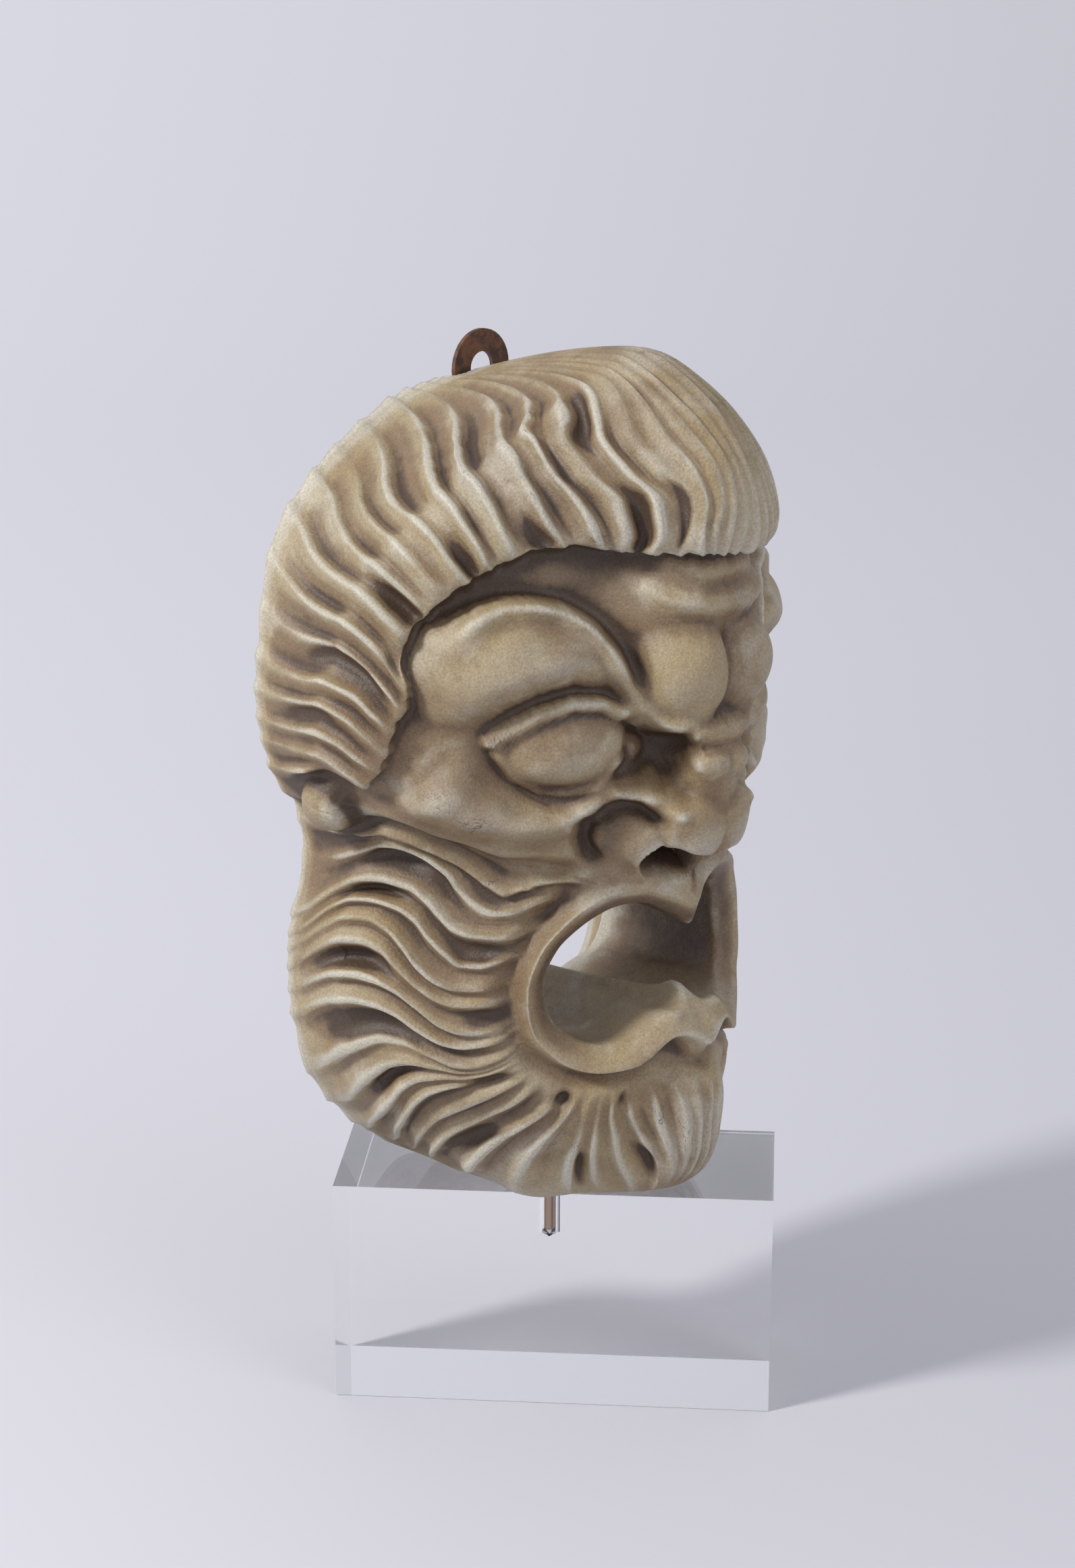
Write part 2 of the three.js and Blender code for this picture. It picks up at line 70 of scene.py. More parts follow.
# the mask's base form, with all angles round the axis of the mouth and counted from the top
mask = dict(
    axisZ=226.0,
    # the outline in the front view
    outlineDeg=[
        0, 4, 8, 14.7, 22.1, 30.5, 39.5, 47.1, 55.2, 61.2,
        69.2, 78, 88.2, 107, 121, 137, 150, 158, 166, 180,
    ],
    outlineRadius=[
        253, 245, 235, 223, 214, 203, 184, 168, 143, 119,
        107, 106, 109, 113, 118, 120, 122, 125, 121, 118,
    ],
    # where the sections are widest, and how far the middle of the face stands forward at each height
    widestDeg=[0, 20, 45, 90, 130, 152, 180],
    widestY=[-45, -22, 15, 28, 8, -24, -48],
    frontZ=[100, 117, 135, 150, 172, 192, 226, 262, 290, 317, 355, 383, 410, 434, 455, 475, 487],
    frontDepth=[90, 99, 99, 97, 95, 93, 90, 91, 94, 97, 98, 99, 103, 108, 104, 87, 70],
    # the two powers of the superellipse away from the middle plane, what is added on it, and how narrow
    # that middle is above and below; then the hollow cheek
    power=(2.0, 4.0), root=(1.15, 0.9), squareUp=120.0, squareDown=60.0,
    cheekX=64.0, cheekZ=298.0, cheekWide=46.0, cheekHigh=50.0, cheekDeep=17.0,
    # the side and the flat rim behind
    rimDeg=[0, 6, 14, 21, 30, 45, 62, 90, 125, 150, 165, 180],
    rimKeep=[0.945, 0.99, 1.035, 1.05, 1.06, 1.015, 0.99, 0.998, 1.0, 1.0, 1.0, 1.0],
    sideCurve=1.8, rimY=58.0, rimTopY=47.0, rimTopFrom=455.0, rimTopTo=475.0,
    rimWidth=26.0, rimExtra=12.0,
    # the hollow behind: its step in from the rim, its floor, its dip and where the tunnel begins
    hollowStep=7.0, hollowDrop=5.0, floorY=29.0, hollowDip=6.0, tunnelY=-8.0, tunnelStep=1.0,
    # the rim of the mouth, its lip and the tunnel
    mouthDeg=[0, 20, 36.9, 54.8, 70, 81.9, 96.7, 112.2, 123.9, 133.8, 143.1, 156.5, 180],
    mouthRadius=[25.7, 33, 44, 53.8, 58.5, 63.6, 68.5, 71.3, 69.9, 65, 55, 42.5, 34],
    mouthY=[-83, -78, -73, -66, -58, -53, -50, -52, -59, -68, -79, -88, -94],
    lipFall=18.0, lipWidth=13.0, rollDepth=14.0, rollOut=3.0, tunnelOut=7.0, lobeRise=9.0, lobeSpan=26.0,
    # the hairline, and the share of a section before the outer rows where there is no hair
    hairlineDeg=[0, 8.5, 13.5, 20, 26, 32.5, 36, 40, 44.5, 49, 53, 57.5],
    hairlineRadius=[185, 187, 191, 194, 192, 186, 178, 163, 156, 148, 142, 136],
    hairEnd=57.5, hairFade=(3, 6), bareCut=0.72, beardCut=0.5,
    # points of each section, then rows and columns of the mesh
    frontSamples=160, sideSamples=41,
    faceRows=92, outerRows=58, outerCurve=1.15, backRowsPerGap=[3, 2, 2, 2, 3, 5, 4, 5],
    hairColumns=148, beardColumns=136, lobeColumns=5, hairColumnsAt=40.0, beardColumnsAt=60.0,
    gridRounds=8, gridEase=0.6,
)

# where the crests of the locks run: a row for each crest, with its angle round the mouth's axis at each
# run; the hair's run is counted from the hairline and the beard's from the rim of the mouth
hairCrests = [
    [0, 0, 0, 0, 0, 0, 0, 0, 0, 0, 0],
    [1.4, 1.0, 0.7, 0.6, 0.7, 0.8, 0.8, 0.7, 0.6, 0.5, 0.5],
    [2.4, 2.0, 1.4, 1.2, 1.4, 1.7, 1.6, 1.3, 1.1, 1.0, 0.9],
    [3.3, 3.0, 2.2, 2.0, 2.3, 2.5, 2.3, 2.0, 1.8, 1.6, 1.5],
    [4.2, 3.9, 3.3, 3.4, 3.9, 3.6, 3.1, 2.7, 2.4, 2.1, 2.0],
    [5.7, 4.9, 4.5, 5.0, 5.5, 4.9, 4.0, 3.5, 3.1, 2.8, 2.6],
    [7.2, 6.4, 6.2, 7.0, 7.4, 6.5, 5.1, 4.4, 3.9, 3.5, 3.3],
    [9.2, 8.7, 8.6, 9.6, 9.9, 8.5, 6.6, 5.5, 4.8, 4.3, 4.1],
    [11.6, 11.6, 12.0, 12.6, 12.2, 10.4, 8.3, 6.9, 6.0, 5.3, 5.0],
    [15.7, 15.9, 15.6, 15.2, 13.8, 12.3, 10.2, 8.6, 7.5, 6.6, 6.1],
    [21.0, 20.6, 19.9, 19.2, 17.5, 15.6, 13.1, 11.1, 9.6, 8.2, 7.4],
    [23.6, 23.1, 22.6, 21.8, 20.1, 18.1, 15.6, 13.5, 12.0, 10.4, 9.4],
    [26.2, 26.0, 25.5, 25.2, 24.2, 22.6, 19.5, 17.2, 15.6, 13.9, 12.6],
    [29.0, 28.7, 28.3, 27.7, 26.7, 25.3, 22.5, 20.4, 18.9, 17.4, 16.2],
    [31.2, 31.0, 30.8, 30.4, 29.4, 27.9, 25.2, 23.4, 22.2, 21.0, 20.0],
    [34.0, 33.7, 33.3, 32.9, 32.3, 31.3, 29.0, 27.4, 26.4, 25.4, 24.6],
    [38.5, 37.0, 36.6, 36.4, 35.9, 34.9, 33.0, 31.8, 31.0, 30.2, 29.6],
    [41.2, 40.3, 39.5, 39.2, 39.2, 39.0, 38.0, 37.2, 36.6, 36.0, 35.6],
    [44.3, 43.6, 43.0, 43.2, 43.7, 43.5, 42.8, 42.2, 41.8, 41.4, 41.2],
    [47.0, 46.3, 45.8, 45.8, 46.2, 46.3, 46.1, 45.8, 45.6, 45.4, 45.4],
    [49.4, 49.0, 48.6, 48.7, 49.2, 49.4, 49.4, 49.4, 49.4, 49.4, 49.4],
    [51.6, 51.1, 50.8, 51.0, 51.4, 51.7, 51.9, 52.0, 52.0, 52.0, 52.0],
    [54.2, 53.6, 53.2, 53.5, 54.4, 54.8, 54.9, 55.0, 55.0, 55.0, 55.0],
    [57.5, 57.5, 57.5, 57.5, 57.5, 57.5, 57.5, 57.5, 57.5, 57.5, 57.5],
]
hairGuides = dict(
    run=[0, 10, 20, 30, 45, 60, 80, 100, 120, 150, 220],
    deg=hairCrests,
)
beardCrests = [
    [46, 47.5, 49.5, 52, 55.5, 57.5, 57.5, 57.5, 57.5, 57.5, 57.5, 57.5, 57.5, 57.5, 57.5, 57.5],
    [50, 51.5, 53.5, 57.5, 64, 63, 61.2, 60, 59.6, 59.4, 59.6, 61, 62, 62, 62, 62],
    [56, 59, 63, 70, 71.5, 70, 66.6, 62.8, 61.6, 61.4, 62, 65.2, 68, 69, 69, 69],
    [66, 72.5, 78, 79, 79.3, 78.6, 75.4, 72, 70, 70, 71, 74.4, 82, 85, 86, 86],
    [79, 83, 86.5, 88.6, 88.7, 86, 82, 77.6, 75.6, 75.2, 76, 79.5, 87, 90, 91, 91],
    [90, 94.2, 95.6, 95.8, 95.7, 94.2, 90.4, 85.3, 81.5, 79.8, 80.6, 84, 90.5, 94, 96, 96],
    [96, 99, 100.5, 100.5, 100.2, 98.8, 95.2, 90.8, 87, 85.8, 86.4, 89.2, 95.2, 99, 101, 101],
    [105, 108, 109.2, 109.2, 108.4, 106, 100.8, 96.6, 94.6, 94, 94.6, 96.8, 101, 104, 106, 106],
    [108, 111, 112.4, 112.6, 112.4, 111, 107, 102.6, 100.4, 99.6, 100.2, 102.2, 106.4, 109, 111, 111],
    [113.6, 115.8, 117.2, 118, 118.5, 117.6, 113.6, 110.2, 109.4, 110.6, 112.6, 115.2, 119.2, 123, 126, 127],
    [115.4, 117.2, 118.6, 119.5, 120, 119.4, 117, 115.4, 116, 118, 120.4, 123.4, 128, 131, 134, 136],
    [117.2, 118.8, 120.2, 121, 121.4, 121.2, 120, 119.6, 121, 124, 127, 130, 134, 138, 142, 145],
    [119.6, 121, 122.4, 122.8, 123, 122.8, 122.4, 123, 125, 128, 131, 134, 138.4, 142, 146, 150],
    [121.8, 123.6, 125.2, 126.4, 127.2, 127.9, 128.6, 129.4, 130.6, 132.6, 135, 137.6, 141.4, 145, 149, 153],
    [124.8, 126.6, 128.4, 130.1, 131.6, 132.6, 133.2, 134, 134.8, 136, 137.8, 140, 144, 148, 152, 156],
    [129, 131.4, 133.6, 135.8, 137.6, 138.8, 139.4, 140, 141, 142.2, 143.8, 146, 149.6, 153, 157, 161],
    [133.6, 135.6, 137.6, 139.6, 141.4, 142.8, 144.2, 145.4, 147, 149, 151.2, 154, 159, 164, 168, 171],
    [137, 139, 141, 143, 145, 147.2, 150, 152.4, 155, 158, 161.2, 164.2, 168, 171, 173, 174.5],
    [139.8, 141.6, 143.4, 145.4, 147.6, 150, 153, 156, 159.6, 163.2, 166.8, 169.4, 172.4, 174, 175, 176],
    [142.4, 144, 145.8, 148, 150.4, 153.4, 158, 162, 166, 169.4, 172, 173.8, 175, 176, 176.6, 177.2],
    [145.4, 147, 149, 151.6, 155, 159.6, 165, 168.8, 171.4, 173.4, 174.8, 175.6, 176.4, 177, 177.4, 178],
    [149, 151, 154, 159.4, 163, 165.8, 169, 171.8, 173.8, 175, 176, 176.6, 177.2, 177.6, 178, 178.5],
    [156, 159, 162.4, 166.6, 169.6, 171.6, 173, 174.4, 175.6, 176.4, 177, 177.5, 178, 178.2, 178.5, 178.8],
    [164, 167, 169.6, 172, 174.4, 175.8, 176.4, 177, 177.4, 177.8, 178.2, 178.5, 178.8, 179, 179.1, 179.3],
    [180, 180, 180, 180, 180, 180, 180, 180, 180, 180, 180, 180, 180, 180, 180, 180],
]
beardGuides = dict(
    run=[0, 8, 16, 24, 32, 40, 50, 60, 70, 80, 90, 100, 115, 130, 150, 200],
    deg=beardCrests,
)
hairLocks = len(hairGuides["deg"]) - 1

# locks: how high they stand, also as a share of their spacing, the finer crests on them, and where
# between two crests the flute is deepest
hair = dict(
    height=9.0, share=0.5, second=0.3, bottom=0.7,
    # the mass of the hair: its height in front, at the side and at the rim, and the run of its roll
    lift=17.0, sideLift=12.0, rimLift=3.0, rimThin=0.7, rimFall=1.3, sideDeg=(20, 45),
    rollRun=17.0, rollStart=2.0,
    # the fringe: uneven tips, how far it hangs over the forehead, and where it begins
    tips=0.5, tipFade=(4, 30), overhang=5.0, overhangIn=(-2, 4), overhangOut=(6, 26),
    start=(-1, 7), startLow=0.7, startRun=(0, 14),
    # the lowest lock is pulled back beside the ear
    corner=(5, 40), cornerPull=1.1, endLocks=(0.7, 0.1),
    # near the middle every other crest is lower
    everyOther=0.55, everyOtherTo=(7, 9),
)
beard = dict(
    height=8.5, share=0.5, second=0.3, bottom=0.32,
    chinBottom=0.5, chinFrom=16, chinFade=1.5, chinLower=0.2,
    start=(4, 24), startLocks=0.8, lipGap=10.0, lipGapLocks=(8, 12), overFace=0.7,
)
# how the height of a lock changes from lock to lock and along its run, and at the rim and the foot
strand = dict(
    mean=0.86, byLock=0.14, lockTurn=4.7, byRun=0.16, runLength=15.0, runTurn=2.4,
    secondSpacing=(9, 15), fine=0.4, rimFlat=0.7, rimPart=(1.35, 1.95), footZ=(104, 134),
)


def named(keys, *rows):
    # a list of dictionaries from rows of numbers
    return [dict(zip(keys.split(), row)) for row in rows]


# hollows cut deeper between two crests: at which lock, over which run, how deep and how wide; each
# comes in from a little before its start, and goes out a little after its end
cutFade = dict(before=4, after=6, soft=0.4)
cuts = named(
    "at start end deep wide",
    (9.3, -4, 14, 7, 0.28), (6.7, 0, 24, 7, 0.3), (5.2, 4, 26, 5, 0.3), (11.6, -2, 16, 5, 0.3),
    (14.4, -2, 20, 8, 0.35), (17.2, 8, 50, 6, 0.3), (19.3, 20, 52, 3, 0.3), (6.5, 40, 78, 5, 0.25),
    (25.3, 66, 92, 5, 0.3), (26.4, 68, 98, 5, 0.32), (26.7, 14, 42, 4, 0.35), (29.5, 62, 104, 8, 0.35),
    (29.6, 8, 28, 4, 0.35), (31.7, 44, 108, 6, 0.32), (33.3, 56, 94, 6, 0.35), (35.0, 20, 42, 5, 0.4),
    (37.7, 58, 88, 5, 0.35), (38.4, 14, 28, 8, 0.5), (40.4, 62, 92, 6, 0.3), (42.8, 16, 30, 6, 0.35),
    (42.8, 52, 76, 6, 0.32),
)


def sectionTable(count=361, samples=240):
    # sections of the base form at equal steps of angle: out from the mouth's rim on a superellipse
    # y = widest - (widest + depth) * (1 - (r / outline)^power)^(1 / root), then back along the side to
    # the rim, each one resampled at equal steps of its own length
    m = mask
    deg = np.linspace(0, 180, count)
    cosine = np.cos(np.radians(deg))[:, None]
    square = np.abs(cosine) ** np.where(cosine > 0, m["squareUp"], m["squareDown"])
    power = m["power"][0] + m["power"][1] * square
    root = m["root"][0] + m["root"][1] * square
    outer = through(deg, m["outlineDeg"], m["outlineRadius"])[:, None]
    start = through(deg, m["mouthDeg"], m["mouthRadius"])[:, None]
    lipY = through(deg, m["mouthDeg"], m["mouthY"])[:, None]
    widest = through(deg, m["widestDeg"], m["widestY"])[:, None]

    def baseY(radius):
        # the superellipse, with the cheeks fallen back by a hollow (1 - q)^1.5 on an ellipse
        height = m["axisZ"] + radius * cosine
        depth = through(height, m["frontZ"], m["frontDepth"])
        fall = clamp01(1 - (radius / outer) ** power) ** (1 / root)
        aside = (radius * np.sqrt(1 - cosine**2) - m["cheekX"]) / m["cheekWide"]
        hollow = clamp01(1 - aside**2 - ((height - m["cheekZ"]) / m["cheekHigh"]) ** 2) ** 1.5
        return widest - (widest + depth) * fall + m["cheekDeep"] * hollow

    begin = np.arcsin(start / outer)
    radius = outer * np.sin(begin + (np.pi / 2 - begin) * np.linspace(0, 1, m["frontSamples"])[None])
    y = baseY(radius) + (lipY - baseY(start)) * np.exp(-(radius - start) / m["lipFall"])
    u = np.linspace(0, 1, m["sideSamples"])[None, 1:]
    keep = through(deg, m["rimDeg"], m["rimKeep"])[:, None]
    topShare = smoothStep(m["rimTopFrom"], m["rimTopTo"], m["axisZ"] + outer * cosine)
    endY = m["rimY"] - (m["rimY"] - m["rimTopY"]) * topShare
    radius = np.concatenate([radius, outer + outer * (keep - 1) * u ** m["sideCurve"]], 1)
    y = np.concatenate([y, widest + (endY - widest) * u], 1)
    run = np.concatenate([np.zeros((count, 1)), np.cumsum(np.hypot(np.diff(radius), np.diff(y)), 1)], 1)
    even = np.linspace(0, 1, samples)
    table = np.empty((2, count, samples))
    for k in range(count):
        table[0, k] = np.interp(even * run[k, -1], run[k], radius[k])
        table[1, k] = np.interp(even * run[k, -1], run[k], y[k])
    hairRadius = through(np.minimum(deg, m["hairEnd"]), m["hairlineDeg"], m["hairlineRadius"])
    hit = (radius >= hairRadius[:, None]).argmax(1)
    hairCut = np.where(hit > 0, run[np.arange(count), hit], m["bareCut"] * run[:, -1])
    inHair = 1 - smoothStep(m["hairEnd"] - m["hairFade"][0], m["hairEnd"] + m["hairFade"][1], deg)
    cut = hairCut * inHair + m["beardCut"] * run[:, -1] * (1 - inHair)
    return dict(deg=deg, table=table, total=run[:, -1], cut=cut)


sections = sectionTable()


def sectionPoint(deg, length):
    # radius and y on the base form, by straight blends between neighbouring sections and samples
    count, samples = sections["table"].shape[1:]
    a = np.clip(deg / 180, 0, 1) * (count - 1)
    i = np.clip(a.astype(int), 0, count - 2)
    total = np.interp(deg, sections["deg"], sections["total"])
    b = np.clip(length / total, 0, 1) * (samples - 1)
    j = np.clip(b.astype(int), 0, samples - 2)
    a, b = a - i, b - j
    t = sections["table"]
    low = t[:, i, j] * (1 - b) + t[:, i, j + 1] * b
    high = t[:, i + 1, j] * (1 - b) + t[:, i + 1, j + 1] * b
    return low * (1 - a) + high * a


def flowAngle(place, run, guides):
    # the angle of a lock at a run: the guides' angles at that run, blended by the lock's own number
    atRun = np.stack([through(run, guides["run"], row) for row in guides["deg"]])
    i = np.clip(place.astype(int), 0, len(atRun) - 2)
    t = place - i
    low = np.take_along_axis(atRun, i[None], 0)[0]
    high = np.take_along_axis(atRun, i[None] + 1, 0)[0]
    return low * (1 - t) + high * t


def columnLocks(guides, run, count, first=0):
    # lock numbers of the columns: each crest has a column, and each gap gets its share of the rest,
    # half by number and half by the guides' angles at one run; the first gap gets some more
    deg = np.array([float(through(run, guides["run"], row)) for row in guides["deg"]])
    gaps = len(deg) - 1
    share = 0.5 / gaps + 0.5 * np.diff(deg) / (deg[-1] - deg[0])
    parts = np.maximum(3, np.floor(share * (count - 1))).astype(int)
    extra = np.argsort(parts - share * (count - 1))[: max(0, count - 1 - parts.sum())]
    parts[extra] += 1
    parts[0] += first
    return np.concatenate([k + np.arange(parts[k]) / parts[k] for k in range(gaps)] + [[gaps]])


def gridLength(part, cut, total):
    # distance from the mouth's rim: part 0 to 1 runs to the hairline, and 1 to 2 on to the rim behind
    return np.where(part <= 1, cut * part, cut + (total - cut) * (part - 1))


def frontGrid():
    # for one side: the lock of each column and, by a few rounds, the angle and length of each point,
    # because the angle of a lock depends on the length, and the length on the angle
    m = mask
    hairPart = columnLocks(hairGuides, m["hairColumnsAt"], m["hairColumns"])[:-1]
    beardCount = m["beardColumns"] - m["lobeColumns"]
    beardPart = hairLocks + columnLocks(beardGuides, m["beardColumnsAt"], beardCount, m["lobeColumns"])
    lock = np.concatenate([hairPart, beardPart])[:, None]
    part = np.concatenate([
        np.linspace(0, 1, m["faceRows"], endpoint=False),
        1 + np.linspace(0, 1, m["outerRows"] + 1) ** m["outerCurve"],
    ])[None]
    part, lock = np.broadcast_arrays(part, lock)
    isHair = lock <= hairLocks
    hairPlace = np.minimum(lock, hairLocks)
    beardPlace = np.maximum(lock - hairLocks, 0)
    middle = np.full(lock.shape, m["hairColumnsAt"])
    hairStart = flowAngle(hairPlace, middle, hairGuides)
    deg = np.where(isHair, hairStart, flowAngle(beardPlace, middle, beardGuides))
    for _ in range(m["gridRounds"]):
        total = np.interp(deg, sections["deg"], sections["total"])
        cut = np.interp(deg, sections["deg"], sections["cut"])
        length = gridLength(part, cut, total)
        squeeze = through(length, beardGuides["run"], beardGuides["deg"][0]) / m["hairEnd"]
        hairDeg = flowAngle(hairPlace, np.maximum(length - cut, 0), hairGuides) * squeeze
        beardDeg = flowAngle(beardPlace, length, beardGuides)
        deg = (1 - m["gridEase"]) * deg + m["gridEase"] * np.where(isHair, hairDeg, beardDeg)
    deg = np.clip(np.maximum.accumulate(deg, 0), 0, 180)
    deg[0], deg[-1] = 0, 180
    total = np.interp(deg, sections["deg"], sections["total"])
    cut = np.interp(deg, sections["deg"], sections["cut"])
    length = gridLength(part, cut, total)
    return dict(lock=lock, part=part, deg=deg, length=length, cut=cut, total=total)


def polar(deg, radius, y):
    # x = radius sin(angle) and z = axis + radius cos(angle)
    angle = np.radians(deg)
    return np.stack([radius * np.sin(angle), y, mask["axisZ"] + radius * np.cos(angle)], -1)


def surfaceNormals(points):
    # unit normals of one side: the cross product of its two central differences, with the mirrored
    # neighbour taken beyond each end
    across = np.empty_like(points)
    across[1:-1] = points[2:] - points[:-2]
    flip = np.array([-1, 1, 1])
    across[0] = points[1] - points[1] * flip
    across[-1] = points[-2] * flip - points[-2]
    along = np.gradient(points, axis=1)
    normal = np.cross(across, along)
    return normal / np.maximum(np.linalg.norm(normal, axis=-1, keepdims=True), 1e-9)


def lineField(x, z, line):
    # distance in the front view from a bent line, above zero on the left of its direction, and the
    # share of the line at its nearest point
    best = np.full(x.shape, 1e9)
    side = np.ones(x.shape)
    share = np.zeros(x.shape)
    pts = np.asarray(line, float)
    size = np.concatenate([[0], np.cumsum(np.hypot(*np.diff(pts, axis=0).T))])
    for k in range(len(pts) - 1):
        a, d = pts[k], pts[k + 1] - pts[k]
        t = clamp01(((x - a[0]) * d[0] + (z - a[1]) * d[1]) / (d @ d))
        far = np.hypot(x - a[0] - d[0] * t, z - a[1] - d[1] * t)
        nearer = far < best
        best = np.where(nearer, far, best)
        side = np.where(nearer, np.sign(d[0] * (z - a[1]) - d[1] * (x - a[0]) + 1e-9), side)
        share = np.where(nearer, (size[k] + t * (size[k + 1] - size[k])) / size[-1], share)
    return best * side, share


def softUnion(a, b, blend=1.5):
    # the higher of two heights, rounded where they are closer than the blend
    return np.maximum(a, b) + blend * clamp01(1 - np.abs(a - b) / blend) ** 2 / 4


def ellipseShare(x, z, spot):
    # squared distance from the middle of a turned ellipse, in its own half sizes
    c, s = np.cos(np.radians(spot.get("turn", 0))), np.sin(np.radians(spot.get("turn", 0)))
    u = ((x - spot["x"]) * c + (z - spot["z"]) * s) / spot["w"]
    v = ((z - spot["z"]) * c - (x - spot["x"]) * s) / spot["h"]
    return u * u + v * v


# the features of the face on one side, x counted from the middle, in the front view:
# broad swellings and hollows first, then forms that cut into each other, then lines
swellings = [
    dict(x=84, z=305, w=38, h=20, turn=22, rise=2.5),
    dict(x=0, z=306, w=15, h=34, rise=7),
    dict(x=58, z=329, w=35, h=28, rise=-8, soft=1.0),
    dict(x=28, z=323, w=16, h=19, rise=-19, soft=0.9),
    dict(x=20, z=306, w=9, h=12, rise=-6),
    dict(x=20, z=384, w=24, h=20, rise=5),
    dict(x=46, z=287, w=8, h=15, rise=-9),
]
ropeLine = [
    [12, 337], [17, 333.5], [22, 333], [29, 336.5], [34, 345], [37.5, 356], [41.5, 366],
    [48, 377], [57, 384.5], [67, 387.5], [76, 387.5], [83, 384], [88, 379], [92, 372],
]
creaseLine = [[33, 340], [40, 348], [46, 352.5], [57, 355.5], [70, 352.5], [79, 347], [87, 339], [96, 331]]
forms = [
    dict(x=72, z=360, w=37, h=32, level=0, rise=14.5, soft=0.8, above=creaseLine),
    dict(x=17, z=359, w=18.5, h=26.5, turn=-6, level=-1, rise=15, soft=0.95),
    dict(x=59.5, z=328.5, w=22.5, h=18.5, turn=0, level=-9, rise=19, soft=0.5, lean=0.28),
    dict(x=32, z=284, w=12.5, h=15.5, turn=-24, level=-2, rise=6, soft=0.9),
    dict(x=8, z=288, w=15, h=16, level=1, rise=10, soft=0.7),
    dict(x=6, z=318, w=8, h=7, level=4, rise=4, soft=1.0),
    dict(x=6, z=331, w=9, h=6, level=3, rise=4, soft=1.0),
]
upperLid = [[84, 332], [78.5, 337], [71, 343.5], [59, 347.5], [47, 346.5], [40, 341.5]]
lowerLid = [[80, 326], [72, 315], [63, 309], [55, 308.5], [46, 313], [41, 320]]
bands = [
    dict(line=upperLid, level=-9, rise=13, w=4.4),
    dict(line=lowerLid, level=-9, rise=12.5, w=3.6),
]
archLine = [[18, 294], [21, 301], [28, 307.5], [36, 310], [44, 308.5], [49, 302], [51, 294]]
cheekRoll = [[104, 313], [97, 309], [87, 302], [72, 295], [59, 294.5], [50, 299]]
# beside a ridge: how far away, how high and how wide
ridges = [
    dict(line=ropeLine, rise=6.5, w=3.8, beside=[[6.5, -2, 3.5], [-8, -1.5, 4]]),
    dict(line=archLine, rise=8.5, w=5),
    dict(line=cheekRoll, rise=10.5, w=8.5),
    dict(line=[[30, 398], [22, 391], [11, 387.5], [-12, 387]], rise=5, w=5),
    dict(line=[[26, 407], [12, 401], [-12, 401]], rise=4, w=5),
]
underArch = [[20, 292], [23, 297], [30, 303], [38, 304.5], [44, 302], [47, 294]]
cheekLine = [[44, 275], [52, 279], [63, 281], [73, 281], [83, 286], [93, 291], [101, 296], [110, 299]]
edges = [
    dict(line=underArch, rise=1, reach=5, step=3, drop=5, fade=4),
    dict(line=cheekLine, rise=3, reach=13, step=7, drop=5, fade=9),
]
holes = [
    dict(x=15, z=270.5, w=14.5, h=9.5, turn=14, rise=-24, soft=0.7),
    dict(x=0, z=262, w=12, h=9, rise=-5, soft=1),
]
# how forms join: their fall outside, the quarter circle under a line, the fall beside a band, the ends
joins = dict(
    outside=30.0, lineRun=12.0, lineStart=1.0, lineLevel=9.0, lineDrop=10.0,
    bandFall=8.0, bandRun=6.0, bandBlend=1.0,
    edgeIn=(0, 0.15), edgeOut=(0.85, 1), ridgeIn=(-0.05, 0.12), ridgeOut=(0.88, 1.05),
)
# slow unevenness of the hand-cut surface
handCut = dict(slow=0.5, slowX=7.0, slowZ=8.0, quick=0.3, quickX=3.6, quickZ=5.0)


def faceHoles(points):
    # the nostril and the groove under the nose: (1 - q)^soft on ellipses, below zero
    x, z = np.abs(points[..., 0]), points[..., 2]
    return sum(spot["rise"] * clamp01(1 - ellipseShare(x, z, spot)) ** spot["soft"] for spot in holes)


def formHeight(x, z, form):
    # level + rise (1 - q)^soft on an ellipse, falling steeply outside it; a form under a line ends there
    # by a quarter circle
    j = joins
    q = ellipseShare(x, z, form)
    height = form["level"] + form["rise"] * clamp01(1 - q) ** form["soft"]
    height = height - j["outside"] * np.maximum(q - 1, 0) - form.get("lean", 0) * (z - form["z"])
    if "above" in form:
        far, _ = lineField(x, z, form["above"])
        inside = clamp01((far + j["lineStart"]) / j["lineRun"])
        height = (height + j["lineLevel"]) * np.sqrt(1 - (1 - inside) ** 2) - j["lineLevel"]
        height -= j["lineDrop"] * (far < -j["lineStart"])
    return height


def edgeHeight(x, z, edge):
    # on one side rise exp(-(distance / reach)^2), and on the other a short step down to -drop, which
    # fades by exp(-(distance / fade)^2)
    far, share = lineField(x, z, edge["line"])
    ends = smoothStep(*joins["edgeIn"], share) * (1 - smoothStep(*joins["edgeOut"], share))
    down = smoothStep(0, edge["step"], -far)
    below = np.exp(-((np.maximum(-far - edge["step"], 0) / edge["fade"]) ** 2))
    low = edge["rise"] * (1 - down) - edge["drop"] * down * below
    return ends * np.where(far >= 0, edge["rise"] * np.exp(-((far / edge["reach"]) ** 2)), low)


def ridgeHeight(x, z, ridge):
    # rise exp(-(distance / width)^2), and the same for each hollow or rise beside it
    far, share = lineField(x, z, ridge["line"])
    height = ridge["rise"] * np.exp(-((far / ridge["w"]) ** 2))
    for away, side, wide in ridge.get("beside", []):
        height += side * np.exp(-(((far - away) / wide) ** 2))
    return height * smoothStep(*joins["ridgeIn"], share) * (1 - smoothStep(*joins["ridgeOut"], share))


